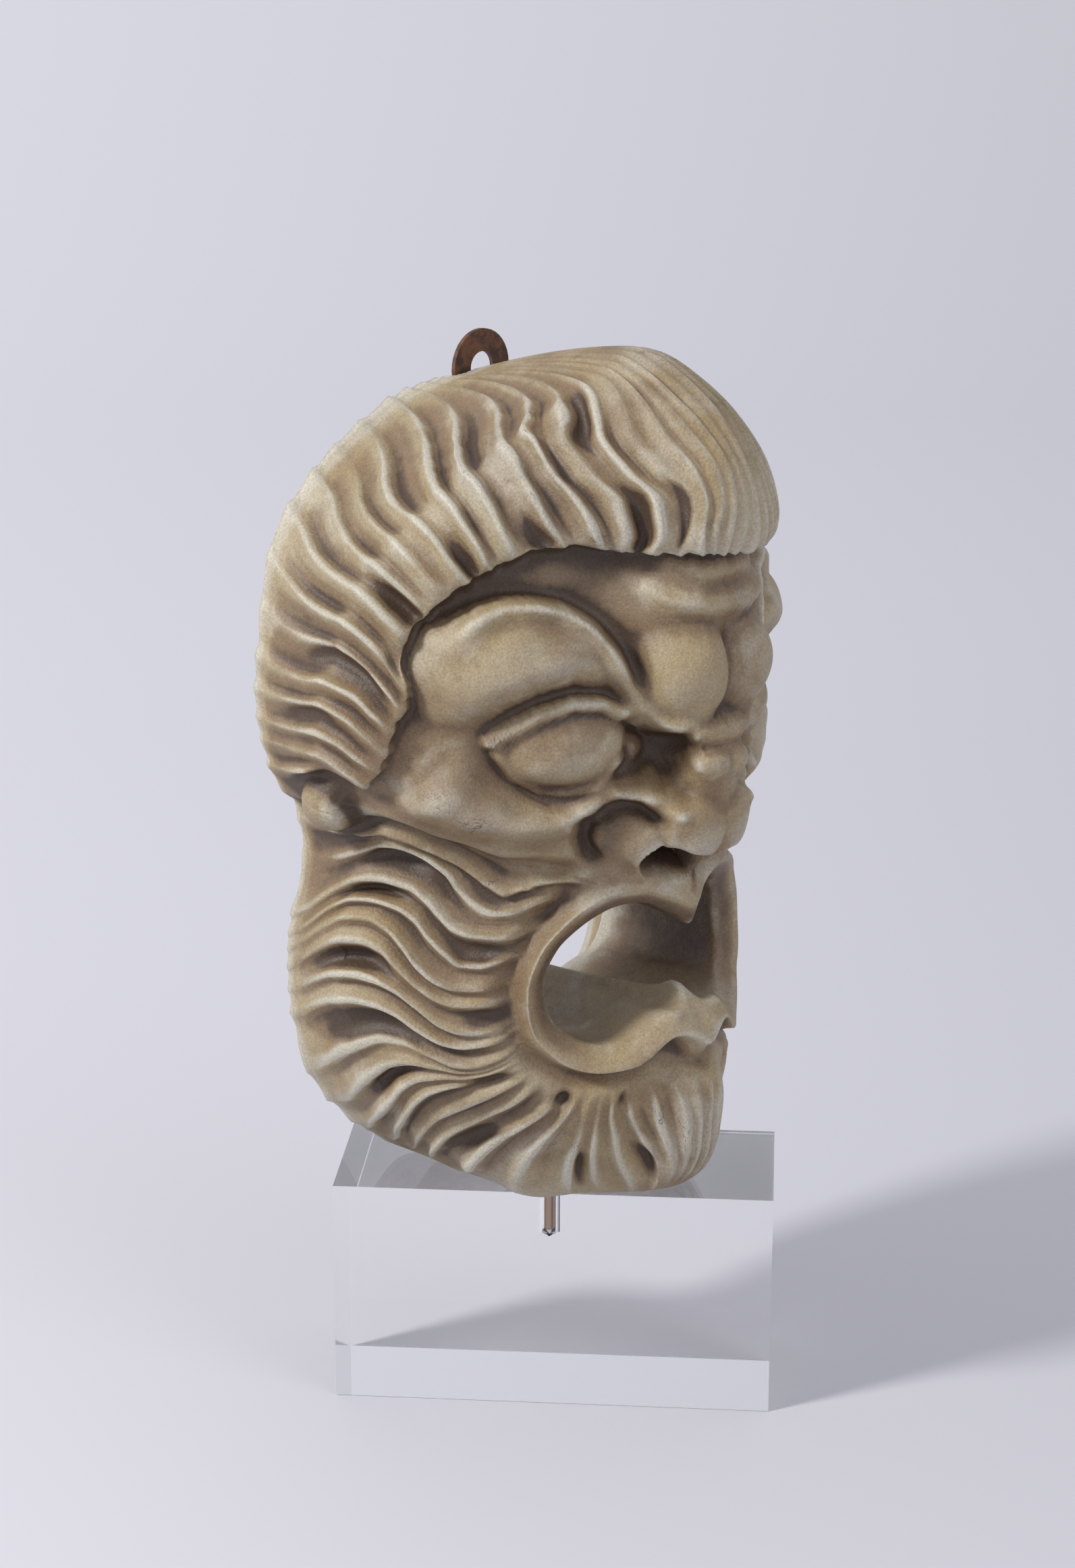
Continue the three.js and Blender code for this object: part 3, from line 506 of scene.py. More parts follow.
def faceRelief(points):
    # swellings (1 - q)^soft add up; forms and bands, each band exp(-(distance / width)^4), are joined
    # by the soft union; edges, ridges and holes are added, and the whole is softened once each way
    x, z = np.abs(points[..., 0]), points[..., 2]
    rise = np.zeros(x.shape)
    for spot in swellings:
        rise += spot["rise"] * clamp01(1 - ellipseShare(x, z, spot)) ** spot.get("soft", 1.6)
    for form in forms:
        rise = softUnion(rise, formHeight(x, z, form))
    for band in bands:
        far, _ = lineField(x, z, band["line"])
        height = band["level"] + band["rise"] * np.exp(-((far / band["w"]) ** 4))
        height -= joins["bandFall"] * smoothStep(0, joins["bandRun"], np.abs(far) - 2 * band["w"])
        rise = softUnion(rise, height, joins["bandBlend"])
    for edge in edges:
        rise += edgeHeight(x, z, edge)
    for ridge in ridges:
        rise += ridgeHeight(x, z, ridge)
    h = handCut
    rise += h["slow"] * np.sin(x / h["slowX"] + 1) * np.sin(z / h["slowZ"])
    rise += h["quick"] * np.sin(x / h["quickX"] + z / h["quickZ"])
    rise += faceHoles(points)
    rise[1:-1] = (rise[:-2] + 2 * rise[1:-1] + rise[2:]) / 4
    rise[:, 1:-1] = (rise[:, :-2] + 2 * rise[:, 1:-1] + rise[:, 2:]) / 4
    return rise


# a ball for the lobe of the ear, and the painted shadow ring round it
earLobe = dict(
    x=112.5, y=26, z=296.5, radius=13.5, rise=12, soft=0.65, fade=(1.0, 1.5),
    ring=3.0, ringAt=1.1, ringWide=0.3,
)


def earRelief(points):
    # the ball's rise (1 - q)^soft round one point, its share of the surface, and the painted shadow
    # ring exp(-((distance - at) / wide)^2)
    e = earLobe
    away = np.abs(points) * np.array([1, 0, 1]) + points * np.array([0, 1, 0])
    far = np.linalg.norm(away - [e["x"], e["y"], e["z"]], axis=-1) / e["radius"]
    ringShadow = e["ring"] * np.exp(-(((far - e["ringAt"]) / e["ringWide"]) ** 2))
    return e["rise"] * clamp01(1 - far * far) ** e["soft"], 1 - smoothStep(*e["fade"], far), ringShadow


def fluteProfile(place, bottom):
    # 0.8 t^1.7 + 0.6 (1 - cos(pi t)) - 1, which is 1 on each crest and -1 at the bottom of the flute,
    # with t counted from the bottom to the crest on either side
    share = place - np.floor(place)
    t = np.abs(share - bottom) / np.where(share < bottom, bottom, 1 - bottom)
    return 0.8 * t ** 1.7 + 0.6 * (1 - np.cos(np.pi * t)) - 1


def lockRelief(grid, base):
    # crests and flutes, as high as a share of their own spacing, with finer ones where it is wide; the
    # height changes by sines of the lock's number and of the run
    lock, s = grid["lock"], strand
    spacing = np.linalg.norm(np.gradient(base, lock[:, 0], axis=0), axis=-1)
    isHair = lock < hairLocks
    chin = smoothStep(beard["chinFrom"] - beard["chinFade"], beard["chinFrom"], lock - hairLocks)
    chinBottom = beard["bottom"] + (beard["chinBottom"] - beard["bottom"]) * chin
    bottom = np.where(isHair, hair["bottom"], chinBottom)
    top = np.where(isHair, hair["height"], beard["height"])
    size = np.minimum(top, np.where(isHair, hair["share"], beard["share"]) * spacing)
    second = np.where(isHair, hair["second"], beard["second"]) * smoothStep(*s["secondSpacing"], spacing)
    main = fluteProfile(lock, bottom)
    fine = fluteProfile(lock * 2, bottom)
    number = np.round(lock)
    uneven = s["mean"] - beard["chinLower"] * chin + s["byLock"] * np.sin(s["lockTurn"] * number)
    uneven = uneven + s["byRun"] * np.sin(grid["length"] / s["runLength"] + s["runTurn"] * number)
    lower = hair["everyOther"] * (number % 2) * (1 - smoothStep(*hair["everyOtherTo"], lock))
    uneven = uneven * (1 - lower)
    return 0.5 * size * uneven * (main * (1 - s["fine"] * second) + s["fine"] * second * fine)


def cutDepth(grid):
    # each cut is -deep exp(-((lock - at) / wide)^2), faded in and out along the run
    lock, length = grid["lock"], grid["length"]
    run = np.where(lock < hairLocks, length - grid["cut"], length)
    depth = np.zeros(lock.shape)
    for cut in cuts:
        near, far = cut["start"], cut["end"]
        soft = cutFade["soft"] * (far - near)
        along = smoothStep(near - cutFade["before"], near + soft, run)
        along = along * (1 - smoothStep(far - soft, far + cutFade["after"], run))
        depth -= cut["deep"] * along * np.exp(-(((lock - cut["at"]) / cut["wide"]) ** 2))
    return depth


def backRows(grid):
    # the corners of the hollow, the tunnel and the lip behind each column, as radius and y, with the
    # column's angle going evenly from the one at the rim back to the one at the mouth
    m = mask
    own = grid["deg"][:, 0]
    end = grid["deg"][:, -1]

    def corners(deg):
        # in order: the rim's inner edge, the hollow, the tunnel, and the back of the lip's roll
        total = np.interp(deg, sections["deg"], sections["total"])
        rimRadius, rimY = sectionPoint(deg, total)
        inner = rimRadius - m["rimWidth"] - m["rimExtra"] * np.abs(np.cos(np.radians(deg))) ** 3
        lipRadius = through(deg, m["mouthDeg"], m["mouthRadius"])
        lipY = through(deg, m["mouthDeg"], m["mouthY"])
        lobe = m["lobeRise"] * (1 - smoothStep(0, m["lobeSpan"], 180 - deg))
        level = np.ones(deg.shape)
        tunnel = lipRadius - m["tunnelOut"]
        roll = lipRadius - m["lipWidth"]
        radius = [
            inner, inner - m["hollowStep"], (inner + lipRadius) / 2 - m["hollowDip"],
            tunnel, tunnel - m["tunnelStep"], roll + m["rollOut"] - lobe * 0.5, roll - lobe,
        ]
        depth = [
            rimY, level * (m["floorY"] + m["hollowDrop"]), level * m["floorY"],
            level * m["floorY"], level * m["tunnelY"], lipY + m["rollDepth"] + lobe * 2, lipY + 1 + lobe * 2,
        ]
        return np.stack(radius, 1), np.stack(depth, 1)

    endRadius, endY = corners(end)
    ownRadius, ownY = corners(own)
    share = np.linspace(0, 1, endRadius.shape[1])[None]
    deg = end[:, None] + (own - end)[:, None] * share
    return polar(deg, endRadius + (ownRadius - endRadius) * share, endY + (ownY - endY) * share)


def alongRows(keys, perGap):
    # the named number of points on each line between two keys, then softened along the row
    at = np.concatenate([k + np.arange(n) / n for k, n in enumerate(perGap)])[1:]
    i = at.astype(int)
    t = (at - i)[None, :, None]
    rows = keys[:, i] * (1 - t) + keys[:, i + 1] * t
    rows = np.concatenate([keys[:, :1], rows, keys[:, -1:]], 1)
    for _ in range(2):
        rows[:, 1:-1] = (rows[:, :-2] + 2 * rows[:, 1:-1] + rows[:, 2:]) / 4
    return rows[:, 1:-1]


# the lip: the rise and dip of its lower edge, the bead on the rim of the mouth and the valley round it
lip = dict(
    rise=7.5, riseAt=17, riseWide=10, dip=3.5, dipWide=6.0, lowerZ=(196, 214), liftRun=(4, 26),
    liftBehind=(0, 0, 0, 0, 0, 0.7, 1.0),
    bead=2.6, beadAt=0.5, beadWide=2.0, valley=6.5, valleyAt=10, valleyWide=6.5, valleyDeg=(38, 62),
    faceRun=(0, 14),
)
# darkening: in the tunnel it is painted shade; on the floor behind, in cuts, in holes and round the lip,
# patina and painted shade
patinaAndShade = dict(
    inside=2.3, floor=-0.7, cuts=0.55, holes=0.25, valley=0.9, valleyAt=7.5, valleyWide=4.5,
    mostBehind=6.0, leastBehind=-1.0, behindRows=(0.4, 0.55),
    sideDeg=(108, 138), insideFrom=(0.26, 0.36), insideTo=(0.9, 0.98),
)
# painted shade, painted highlights and patina on ellipses of the front view, darker where above zero and
# paler below
shadeHighlightAndPatina = named(
    "x z w h much turn",
    # painted shade by the nose wing and round the ear, patina on the hair at the side, painted highlight on
    # the temple
    (34, 292, 26, 28, 1.7), (112, 305, 30, 26, 1.0), (124, 350, 30, 62, 1.1), (103, 321, 17, 17, -1.8),
    # painted shadow under the hairline, painted shade under the wing, painted highlight on the brow
    (70, 402, 45, 12, 0.8), (38, 280, 14, 16, 1.2), (78, 368, 28, 18, -1.6),
    # painted highlights on the cheek roll, the nose tip and the knob, painted shade over the eye
    (82, 303, 32, 10, -3.0, 22), (6, 288, 12, 9, -2.5), (19, 352, 13, 15, -1.5), (60, 328, 24, 20, 1.2),
    # painted highlights on the chin and the lower eyeball, painted shade on the ear lobe
    (22, 138, 44, 36, -3.6), (112, 296, 14, 13, 1.6), (57, 321, 15, 8, -3.0),
)


def lipLift(points, share):
    # the lower lip rises beside the middle by rise exp(-((|x| - at) / wide)^2) and dips at the middle
    x, z = np.abs(points[..., 0]), points[..., 2]
    lift = lip["rise"] * np.exp(-(((x - lip["riseAt"]) / lip["riseWide"]) ** 2))
    lift = lift - lip["dip"] * np.exp(-((x / lip["dipWide"]) ** 2))
    lift = lift * share * (1 - smoothStep(*lip["lowerZ"], z))
    return lift[..., None] * np.array([0, 0, 1])


def hairAndBeard(g):
    # the run past the fringe with its uneven tips, and how much of hair and beard each point has
    lock, beyond = g["lock"], g["length"] - g["cut"]
    corner = 1 - smoothStep(*hair["corner"], beyond)
    ends = [hairLocks - gap for gap in hair["endLocks"]]
    isHair = 1 - smoothStep(*ends, lock + hair["cornerPull"] * corner)
    tips = hair["tips"] * fluteProfile(lock, hair["bottom"])
    past = beyond + tips * (1 - smoothStep(*hair["tipFade"], beyond))
    hairShare = smoothStep(*hair["start"], past) * isHair
    gapFrom, gapTo = beard["lipGapLocks"]
    lipGap = beard["lipGap"] * smoothStep(hairLocks + gapFrom, hairLocks + gapTo, lock)
    beardShare = smoothStep(*beard["start"], g["length"] - lipGap)
    beardShare = beardShare * smoothStep(hairLocks, hairLocks + beard["startLocks"], lock)
    return past, isHair, hairShare, beardShare


def hairMass(g, past, isHair):
    # rises by a quarter circle sqrt(1 - (1 - run / rollRun)^2) and falls to the rim by (1 - share)^rimFall
    beyond = g["length"] - g["cut"]
    band = np.maximum(g["total"] - g["cut"], 1)
    aside = smoothStep(*hair["sideDeg"], g["deg"])
    lift = hair["lift"] + (hair["sideLift"] - hair["lift"]) * aside
    rimLift = hair["rimLift"] * (1 - hair["rimThin"] * aside)
    lift = rimLift + (lift - rimLift) * (1 - clamp01(beyond / band)) ** hair["rimFall"]
    return lift * np.sqrt(1 - (1 - clamp01((past + hair["rollStart"]) / hair["rollRun"])) ** 2) * isHair


def frontPatinaAndShade(g, base, cutHere, earShadow):
    # patina and painted shade added up, in cuts, in holes and round the lip by exp(-((run - at) / wide)^2);
    # the painted shadow round the ear; and 1 - q on the ellipses of painted shade, painted highlights and
    # patina
    patinaShade = -patinaAndShade["cuts"] * cutHere - patinaAndShade["holes"] * np.minimum(faceHoles(base), 0)
    byLip = np.exp(-(((g["length"] - patinaAndShade["valleyAt"]) / patinaAndShade["valleyWide"]) ** 2))
    byLip = byLip * smoothStep(*lip["valleyDeg"], g["deg"])
    patinaShade = patinaShade + patinaAndShade["valley"] * byLip + earShadow
    for spot in shadeHighlightAndPatina:
        patinaShade += spot["much"] * clamp01(1 - ellipseShare(np.abs(base[..., 0]), base[..., 2], spot))
    return patinaShade


def maskSide():
    # one side of the mask: front rows lifted off the base form along its normals, the fringe pulled
    # forward along the rows, the lower lip lifted, then the back rows
    g = frontGrid()
    radius, y = sectionPoint(g["deg"], g["length"])
    base = polar(g["deg"], radius, y)
    normal = surfaceNormals(base)
    past, isHair, hairShare, beardShare = hairAndBeard(g)
    rimFade = 1 - strand["rimFlat"] * smoothStep(*strand["rimPart"], g["part"])
    rimFade = rimFade * smoothStep(*strand["footZ"], base[..., 2])
    hairStart = 1 - hair["startLow"] * (1 - smoothStep(*hair["startRun"], past)) * isHair
    cutHere = cutDepth(g) * (hairShare + beardShare)
    strands = (lockRelief(g, base) * hairStart * (hairShare + beardShare) + cutHere) * rimFade
    valley = -lip["valley"] * np.exp(-(((g["length"] - lip["valleyAt"]) / lip["valleyWide"]) ** 2))
    bead = lip["bead"] * np.exp(-(((g["length"] - lip["beadAt"]) / lip["beadWide"]) ** 2))
    rim = bead + valley * smoothStep(*lip["valleyDeg"], g["deg"])
    face = faceRelief(base) * smoothStep(*lip["faceRun"], g["length"]) * (1 - hairShare)
    face = face * (1 - beard["overFace"] * beardShare)
    # the ear's last value is a painted shadow ring round the lobe
    ear, nearEar, earShadow = earRelief(base)
    covered = (face + hairMass(g, past, isHair) + strands) * (1 - nearEar) + ear
    front = base + normal * (covered + rim)[..., None]
    along = np.gradient(base, axis=1)
    along /= np.maximum(np.linalg.norm(along, axis=-1, keepdims=True), 1e-9)
    roll = hair["overhang"] * isHair * smoothStep(*hair["overhangIn"], past)
    front = front - along * (roll * (1 - smoothStep(*hair["overhangOut"], past)))[..., None]
    keys = backRows(g)
    front = front + lipLift(front, 1 - smoothStep(*lip["liftRun"], g["length"]))
    keys = keys + lipLift(keys, np.array(lip["liftBehind"]))
    back = alongRows(np.concatenate([front[:, -1:], keys, front[:, :1]], 1), mask["backRowsPerGap"])
    return g, front, back, frontPatinaAndShade(g, base, cutHere, earShadow)


def levelled(points, rounds):
    # each point moved halfway to the mean of its four neighbours on the closed grid, many times
    for _ in range(rounds):
        beside = np.roll(points, 1, 0) + np.roll(points, -1, 0)
        points = 0.5 * points + 0.125 * (beside + np.roll(points, 1, 1) + np.roll(points, -1, 1))
    return points


def closedNormals(points):
    # unit normals of a grid that closes on itself both ways: the cross product of its differences
    across = np.roll(points, -1, 0) - np.roll(points, 1, 0)
    along = np.roll(points, -1, 1) - np.roll(points, 1, 1)
    normal = np.cross(across, along)
    return normal / np.maximum(np.linalg.norm(normal, axis=-1, keepdims=True), 1e-9)


def standingOut(points, rounds):
    # how far each point stands out from the levelled surface along its normal, in millimetres
    return ((points - levelled(points, rounds)) * closedNormals(points)).sum(-1)


def ringMesh(name, points):
    # quads between neighbouring columns and rows of a grid that closes on itself both ways
    n, m = points.shape[:2]
    i, j = np.meshgrid(np.arange(n), np.arange(m), indexing="ij")
    k, l = (i + 1) % n, (j + 1) % m
    quads = np.stack([i * m + j, k * m + j, k * m + l, i * m + l], -1).reshape(-1, 4)
    mesh = bpy.data.meshes.new(name)
    mesh.vertices.add(n * m)
    mesh.vertices.foreach_set("co", (points.reshape(-1) * mm).astype(np.float32))
    mesh.loops.add(quads.size)
    mesh.loops.foreach_set("vertex_index", quads.reshape(-1).astype(np.int32))
    mesh.polygons.add(len(quads))
    mesh.polygons.foreach_set("loop_start", np.arange(0, quads.size, 4, dtype=np.int32))
    mesh.polygons.foreach_set("use_smooth", np.ones(len(quads), bool))
    mesh.update(calc_edges=True)
    mesh.validate()
    obj = bpy.data.objects.new(name, mesh)
    bpy.context.scene.collection.objects.link(obj)
    return obj


def addValues(obj, name, values):
    # one number for each point, which a material reads by name
    layer = obj.data.attributes.new(name, "FLOAT", "POINT")
    layer.data.foreach_set("value", values.reshape(-1).astype(np.float32))


def bothSides(side):
    # the other side mirrors this one in X, without the two middle columns
    other = side[1:-1][::-1] * np.array([-1, 1, 1])
    return np.concatenate([side, other], 0)


grid, front, back, patinaShade = maskSide()
surface = bothSides(np.concatenate([front, back], 1))

# the hanging plate lies in a recess of the flat top of the rim: no point there is behind its y
recess = dict(x=2.0, half=17.8, low=411.0, y=44.6)
sunk = (np.abs(surface[..., 0] - recess["x"]) < recess["half"]) & (surface[..., 2] > recess["low"])
surface[..., 1] = np.where(sunk, np.minimum(surface[..., 1], recess["y"]), surface[..., 1])
marble = ringMesh("carved_marble", surface)

# what the marble's material reads: how far a point stands out from its near surroundings, and how far
# it lies below its wider ones, with the patina and painted shade added
relief = dict(crestRounds=6, depthRounds=60)
addValues(marble, "crest", standingOut(surface, relief["crestRounds"]))
hollow = -standingOut(surface, relief["depthRounds"])
frontRows = front.shape[1]
hollow[:, :frontRows] += np.concatenate([patinaShade, patinaShade[1:-1][::-1]], 0)
share = np.arange(back.shape[1]) / back.shape[1]
lipDeg = grid["deg"][:, :1]
sides = 1 - smoothStep(*patinaAndShade["sideDeg"], np.concatenate([lipDeg, lipDeg[1:-1][::-1]], 0))
# in the tunnel of the mouth a fixed dark level replaces the value, which paints shade; elsewhere behind it
# is kept between limits
within = sides * smoothStep(*patinaAndShade["insideFrom"], share) * (1 - smoothStep(*patinaAndShade["insideTo"], share))
behind = np.maximum(hollow[:, frontRows:], patinaAndShade["floor"])
fall = (patinaAndShade["mostBehind"] - patinaAndShade["leastBehind"]) * smoothStep(*patinaAndShade["behindRows"], share)
behind = np.minimum(behind, patinaAndShade["mostBehind"] - fall)
hollow[:, frontRows:] = behind * (1 - within) + patinaAndShade["inside"] * within
addValues(marble, "depth", hollow)
print("mask:", len(marble.data.vertices), "points,", 2 * len(marble.data.polygons), "triangles")


def newMaterial(name, values):
    # a material and its main shader, with the values set on sockets of those names
    material = bpy.data.materials.new(name)
    material.use_nodes = True
    shader = material.node_tree.nodes["Principled BSDF"]
    for socket, value in values.items():
        shader.inputs[socket].default_value = value
    return material, shader


class Nodes:
    # short calls that add shader nodes and join them
    def __init__(self, tree):
        self.tree = tree
        self.place = tree.nodes.new("ShaderNodeTexCoord").outputs["Object"]

    def put(self, socket, value):
        if isinstance(value, bpy.types.NodeSocket):
            self.tree.links.new(value, socket)
        else:
            socket.default_value = value

    def values(self, name):
        node = self.tree.nodes.new("ShaderNodeAttribute")
        node.attribute_name = name
        return node.outputs["Fac"]

    def noise(self, scale, detail=4.0, rough=0.55, twist=0.0):
        node = self.tree.nodes.new("ShaderNodeTexNoise")
        self.put(node.inputs["Vector"], self.place)
        self.put(node.inputs["Scale"], scale)
        self.put(node.inputs["Detail"], detail)
        self.put(node.inputs["Roughness"], rough)
        self.put(node.inputs["Distortion"], twist)
        return node.outputs["Fac"]

    def step(self, value, low, high, start=0.0, end=1.0):
        # value mapped smoothly from low..high to start..end
        node = self.tree.nodes.new("ShaderNodeMapRange")
        node.interpolation_type = "SMOOTHSTEP"
        self.put(node.inputs["Value"], value)
        self.put(node.inputs["From Min"], low)
        self.put(node.inputs["From Max"], high)
        self.put(node.inputs["To Min"], start)
        self.put(node.inputs["To Max"], end)
        return node.outputs["Result"]

    def maths(self, kind, a, b):
        node = self.tree.nodes.new("ShaderNodeMath")
        node.operation = kind
        self.put(node.inputs[0], a)
        self.put(node.inputs[1], b)
        return node.outputs["Value"]

    def times(self, a, b):
        return self.maths("MULTIPLY", a, b)

    def plus(self, a, b):
        return self.maths("ADD", a, b)

    def minus(self, a, b):
        return self.maths("SUBTRACT", a, b)

    def mix(self, share, a, b):
        node = self.tree.nodes.new("ShaderNodeMix")
        node.data_type = "RGBA"
        self.put(node.inputs[0], share)
        self.put(node.inputs[6], a)
        self.put(node.inputs[7], b)
        return node.outputs[2]

    def scaled(self, colour, factor):
        node = self.tree.nodes.new("ShaderNodeVectorMath")
        node.operation = "SCALE"
        self.put(node.inputs[0], colour)
        self.put(node.inputs["Scale"], factor)
        return node.outputs["Vector"]

    def bump(self, height, strength, distance, before=None):
        node = self.tree.nodes.new("ShaderNodeBump")
        self.put(node.inputs["Height"], height)
        self.put(node.inputs["Strength"], strength)
        self.put(node.inputs["Distance"], distance)
        if before is not None:
            self.put(node.inputs["Normal"], before)
        return node.outputs["Normal"]


stone = dict(
    tan=(0.312, 0.235, 0.124, 1),
    grey=(0.34, 0.28, 0.178, 1),
    brown=(0.175, 0.112, 0.06, 1),
    dark=(0.05, 0.03, 0.02, 1),
    pale=(0.50, 0.475, 0.395, 1),
    vein=(0.06, 0.055, 0.05, 1),
    rough=0.5,
    # patches on the tan ground: the noise's scale, detail, roughness and twist, where it comes in
    patches=[
        dict(colour="grey", noise=(22, 6, 0.6), start=0.35, end=0.65, much=1.0),
        dict(colour="brown", noise=(13, 5, 0.6, 0.6), start=0.42, end=0.68, much=0.7),
        dict(colour="pale", noise=(27, 4, 0.55, 0.5), start=0.5, end=0.66, much=0.34),
        dict(colour="brown", noise=(38, 5, 0.65, 0.4), start=0.5, end=0.7, much=0.45),
    ],
    # patina and painted light by the shape, in millimetres: brown and dark in hollows, pale on crests and on
    # wide swellings
    layers=[
        # brown in hollows: patina and painted shade
        dict(colour="brown", by="hollow", start=-1.1, end=1.0, much=0.8),
        # near black in deep hollows: painted shade and patina
        dict(colour="dark", by="hollow", start=0.9, end=3.0, much=0.88),
        # pale on crests: wear and painted highlight
        dict(colour="pale", by="crest", start=0.4, end=1.6, much=0.75),
        # pale on wide swellings: grey stone and painted highlight
        dict(colour="pale", by="hollow", start=-1.6, end=-6, much=0.5),
    ],
    # noises again, then the levels of each, and the strength and height of each bump
    fine=(170, 5, 0.65), fineMuch=1.6, fineBump=(0.3, 0.0012),
    middle=(55, 5, 0.6), hollowMuch=2.0, crestMuch=2.4, crestLess=0.8,
    sand=(900, 2, 0.8), sandLevels=(0.3, 0.7, 0.84, 1.16),
    veins=(16, 7, 0.6, 1.2), veinLevels=(0.003, 0.0012), veinMuch=0.8,
    veinPlaces=(13, 2), placeLevels=(0.58, 0.66),
    grain=(700, 3, 0.7), grainBump=(0.5, 0.0007),
)


def stoneLook():
    # patches of noise, then layers that follow the shape's own values, then sand and veins: a vein is
    # where a twisted noise is close to a half
    s = stone
    material, shader = newMaterial("agedMarble", {"Roughness": s["rough"]})
    n = Nodes(material.node_tree)
    crest, depth = n.values("crest"), n.values("depth")
    fine = n.noise(*s["fine"])
    middle = n.minus(n.noise(*s["middle"]), 0.5)
    colour = s["tan"]
    for patch in s["patches"]:
        share = n.times(n.step(n.noise(*patch["noise"]), patch["start"], patch["end"]), patch["much"])
        colour = n.mix(share, colour, s[patch["colour"]])
    speckle = n.times(n.minus(fine, 0.5), s["fineMuch"])
    low = n.plus(n.plus(depth, speckle), n.times(middle, s["hollowMuch"]))
    low = n.minus(low, n.times(crest, s["crestLess"]))
    heights = dict(hollow=low, crest=n.plus(crest, n.times(middle, s["crestMuch"])))
    # these layers paint shade in hollows and highlights on crests and swellings, over the patina
    for layer in s["layers"]:
        share = n.times(n.step(heights[layer["by"]], layer["start"], layer["end"]), layer["much"])
        colour = n.mix(share, colour, s[layer["colour"]])
    colour = n.scaled(colour, n.step(n.noise(*s["sand"]), *s["sandLevels"]))
    line = n.maths("ABSOLUTE", n.minus(n.noise(*s["veins"]), 0.5), 0.0)
    places = n.step(n.noise(*s["veinPlaces"]), *s["placeLevels"])
    veined = n.times(n.step(line, *s["veinLevels"]), places)
    n.put(shader.inputs["Base Color"], n.mix(n.times(veined, s["veinMuch"]), colour, s["vein"]))
    grain = n.bump(n.noise(*s["grain"]), *s["grainBump"])
    n.put(shader.inputs["Normal"], n.bump(fine, *s["fineBump"], grain))
    return material


steel = dict(
    dark=(0.055, 0.028, 0.018, 1), rust=(0.16, 0.07, 0.035, 1), metal=0.25, rough=0.55,
    patches=(130, 6, 0.7), rustLevels=(0.38, 0.62), pits=(300, 5, 0.7), pitBump=(0.4, 0.0006),
)


def steelLook():
    # two browns by noise, and pits by a finer one
    material, shader = newMaterial("rustySteel", {"Metallic": steel["metal"], "Roughness": steel["rough"]})
    n = Nodes(material.node_tree)
    rust = n.step(n.noise(*steel["patches"]), *steel["rustLevels"])
    n.put(shader.inputs["Base Color"], n.mix(rust, steel["dark"], steel["rust"]))
    n.put(shader.inputs["Normal"], n.bump(n.noise(*steel["pits"]), *steel["pitBump"]))
    return material


pin = {"Base Color": (0.42, 0.28, 0.2, 1), "Metallic": 1, "Roughness": 0.4}
acrylic = {"Base Color": (1, 1, 1, 1), "Transmission Weight": 1, "IOR": 1.49, "Roughness": 0.0}
marble.data.materials.append(stoneLook())
looks = {
    "hanging_plate": steelLook(),
    "mounting_pin": newMaterial("copperyPin", pin)[0],
    "acrylic_block": newMaterial("clearAcrylic", acrylic)[0],
}
for node, look in looks.items():
    nodes[node].data.materials.clear()
    nodes[node].data.materials.append(look)
print("materials: marble, and", ", ".join(looks))

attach(marble, "root")
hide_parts("marble_mask")

# floor and backdrop in one sheet, turned so that it faces the camera
studio = dict(
    front=-2500.0, bend=2600.0, radius=900.0, top=3200.0, width=7000.0, floor=-0.3, turn=-46.9,
    near=(0.56, 0.56, 0.60, 1), far=(0.30, 0.30, 0.32, 1), glowColour=(0.92, 0.92, 1.0, 1), rough=0.8,
    # in metres: directions away from the camera and across, where the wall's colour comes in
    away=(0.73, 0.684), across=(0.684, 0.729), wallFrom=1.2, wallTo=4.2,
    # painted light: how much the sheet glows, more with distance and less to the right
    glow=0.06, glowAway=0.1, glowMost=0.36, glowAcross=0.07,
)


def backdropSheet():
    # a profile carried across: flat, then a quarter circle up, then straight up
    s = studio
    arc = np.linspace(0, np.pi / 2, 24)
    along = np.concatenate([[s["front"]], s["bend"] + s["radius"] * np.sin(arc), [s["bend"] + s["radius"]]])
    up = np.concatenate([[0], s["radius"] * (1 - np.cos(arc)), [s["top"]]])
    side = np.linspace(-s["width"] / 2, s["width"] / 2, 2)
    u, k = np.meshgrid(side, np.arange(len(along)), indexing="ij")
    turn = np.radians(s["turn"])
    x = u * np.cos(turn) - along[k] * np.sin(turn)
    y = u * np.sin(turn) + along[k] * np.cos(turn)
    points = np.stack([x, y, up[k] + s["floor"]], -1).reshape(-1, 3) * mm
    m = len(along)
    faces = [(j, m + j, m + j + 1, j + 1) for j in range(m - 1)]
    mesh = bpy.data.meshes.new("studio_sheet")
    mesh.from_pydata(points.tolist(), [], faces)
    mesh.polygons.foreach_set("use_smooth", np.ones(len(faces), bool))
    obj = bpy.data.objects.new("studio_sheet", mesh)
    bpy.context.scene.collection.objects.link(obj)
    return obj


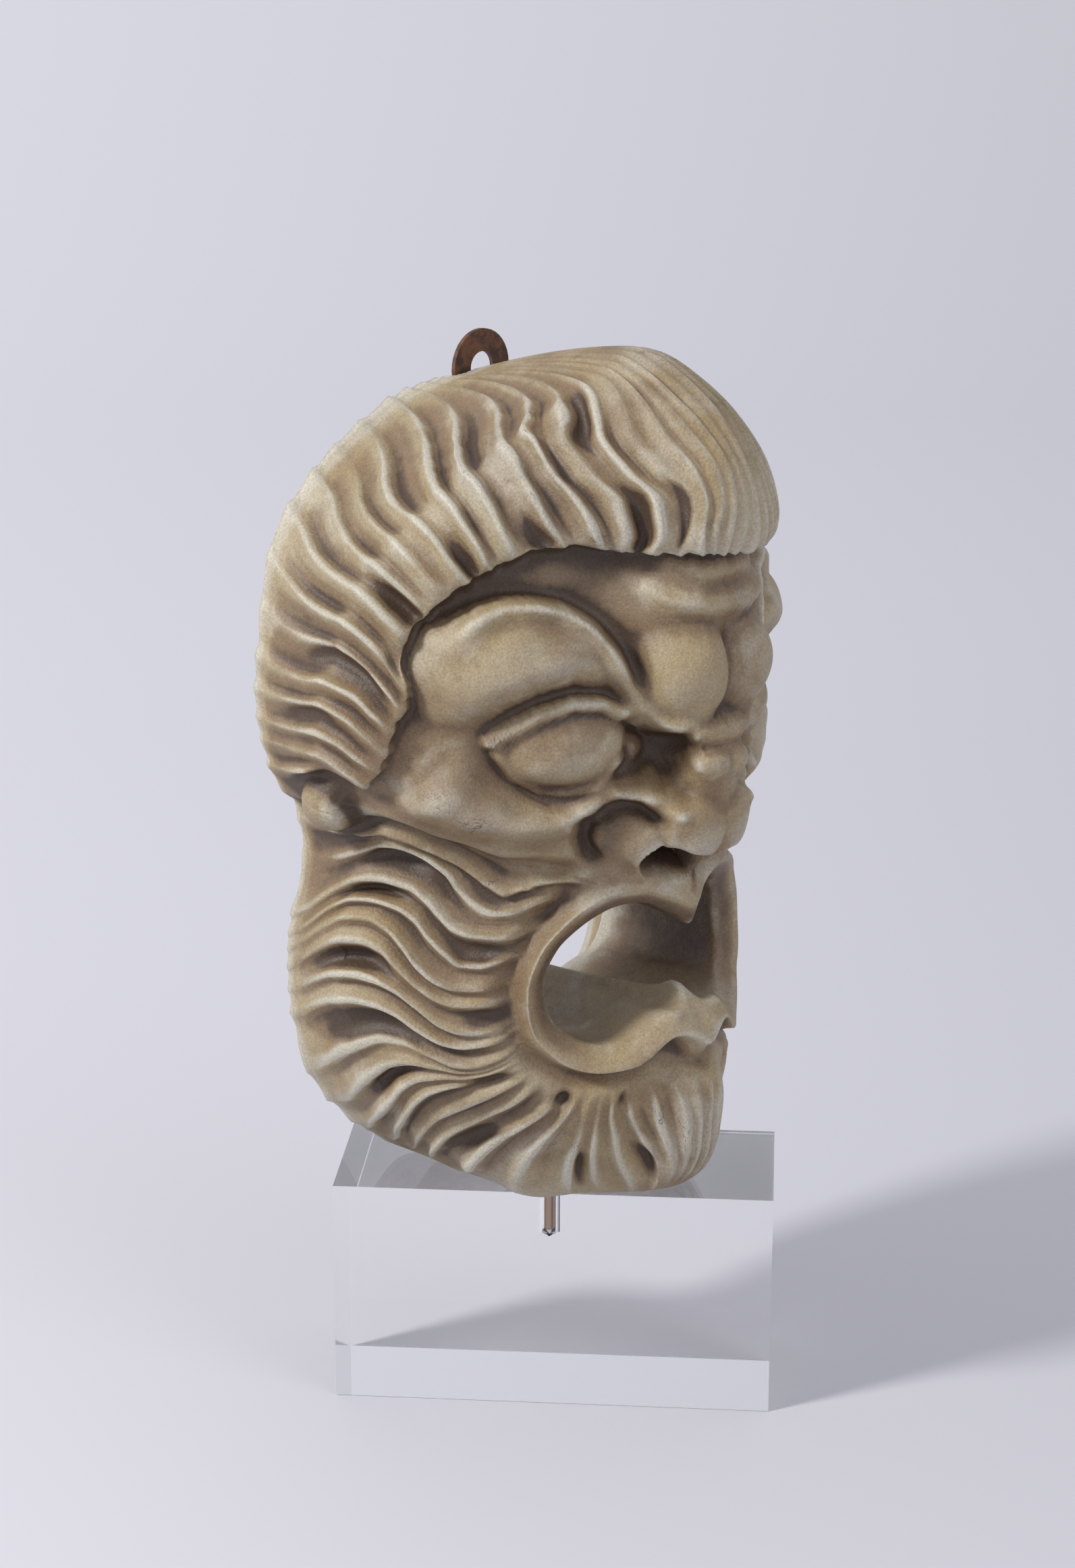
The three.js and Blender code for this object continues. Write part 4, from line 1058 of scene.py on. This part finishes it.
def sheetLook():
    # painted light: the sheet glows, glow + distance glowAway, up to glowMost, and less to the right, in
    # place of the room's light on the wall; its own colour darkens with distance, so that the floor takes
    # the shadows
    s = studio
    material, shader = newMaterial("paleSheet", {"Emission Color": s["glowColour"], "Roughness": s["rough"]})
    n = Nodes(material.node_tree)
    parts = material.node_tree.nodes.new("ShaderNodeSeparateXYZ")
    material.node_tree.links.new(n.place, parts.inputs[0])
    x, y = parts.outputs["X"], parts.outputs["Y"]
    away = n.plus(n.times(x, s["away"][0]), n.times(y, s["away"][1]))
    across = n.minus(n.times(x, s["across"][0]), n.times(y, s["across"][1]))
    wall = n.step(away, s["wallFrom"], s["wallTo"])
    lit = n.maths("MINIMUM", n.maths("MAXIMUM", n.times(away, s["glowAway"]), 0.0), s["glowMost"])
    glow = n.minus(n.plus(lit, s["glow"]), n.times(across, s["glowAcross"]))
    n.put(shader.inputs["Base Color"], n.mix(wall, s["near"], s["far"]))
    n.put(shader.inputs["Emission Strength"], glow)
    return material


sheet = backdropSheet()
sheet.data.materials.append(sheetLook())
print("backdrop:", len(sheet.data.polygons), "faces")

# lamps, aimed at the middle of the mask, and the light of the room
lights = dict(
    key=dict(place=(-1760, 600, 1600), size=420, power=42, colour=(1.0, 0.985, 0.96)),
    fill=dict(place=(100, -2300, 1300), size=1600, power=13, colour=(0.95, 0.96, 1.0)),
)
aimAt = (0, 0, 280)
room = {"Color": (0.92, 0.91, 1.0, 1), "Strength": 0.6}
for name, light in lights.items():
    data = bpy.data.lights.new(name, "AREA")
    data.shape = "DISK"
    data.size = light["size"] * mm
    data.energy = light["power"]
    data.color = light["colour"]
    lamp = bpy.data.objects.new(name, data)
    lamp.location = Vector(light["place"]) * mm
    aim = Vector(aimAt) * mm - lamp.location
    lamp.rotation_euler = aim.to_track_quat("-Z", "Y").to_euler()
    bpy.context.scene.collection.objects.link(lamp)
world = bpy.data.worlds.new("softRoom")
world.use_nodes = True
for socket, value in room.items():
    world.node_tree.nodes["Background"].inputs[socket].default_value = value
bpy.context.scene.world = world
print("lamps:", ", ".join(lights))

# camera, from the fit to the block's corners
camera = dict(
    place=(-994.6, -930.5, 693.7),
    right=(0.68747, -0.72621, 0.00234),
    down=(-0.20654, -0.19861, -0.95807),
    focalPixels=4700.0,
    frameHeight=2324.0,
    sensorHeight=24.0,
)
right, down = Vector(camera["right"]).normalized(), Vector(camera["down"]).normalized()
data = bpy.data.cameras.new("photoCamera")
data.sensor_fit = "VERTICAL"
data.sensor_height = camera["sensorHeight"]
data.lens = camera["sensorHeight"] * camera["focalPixels"] / camera["frameHeight"]
shot = bpy.data.objects.new("photoCamera", data)
turn = Matrix((right, -down, right.cross(-down))).transposed().to_4x4()
shot.matrix_world = Matrix.Translation(Vector(camera["place"]) * mm) @ turn
bpy.context.scene.collection.objects.link(shot)
bpy.context.scene.camera = shot
bpy.context.scene.view_settings.view_transform = "Standard"
print("camera: lens", round(data.lens, 2), "mm")
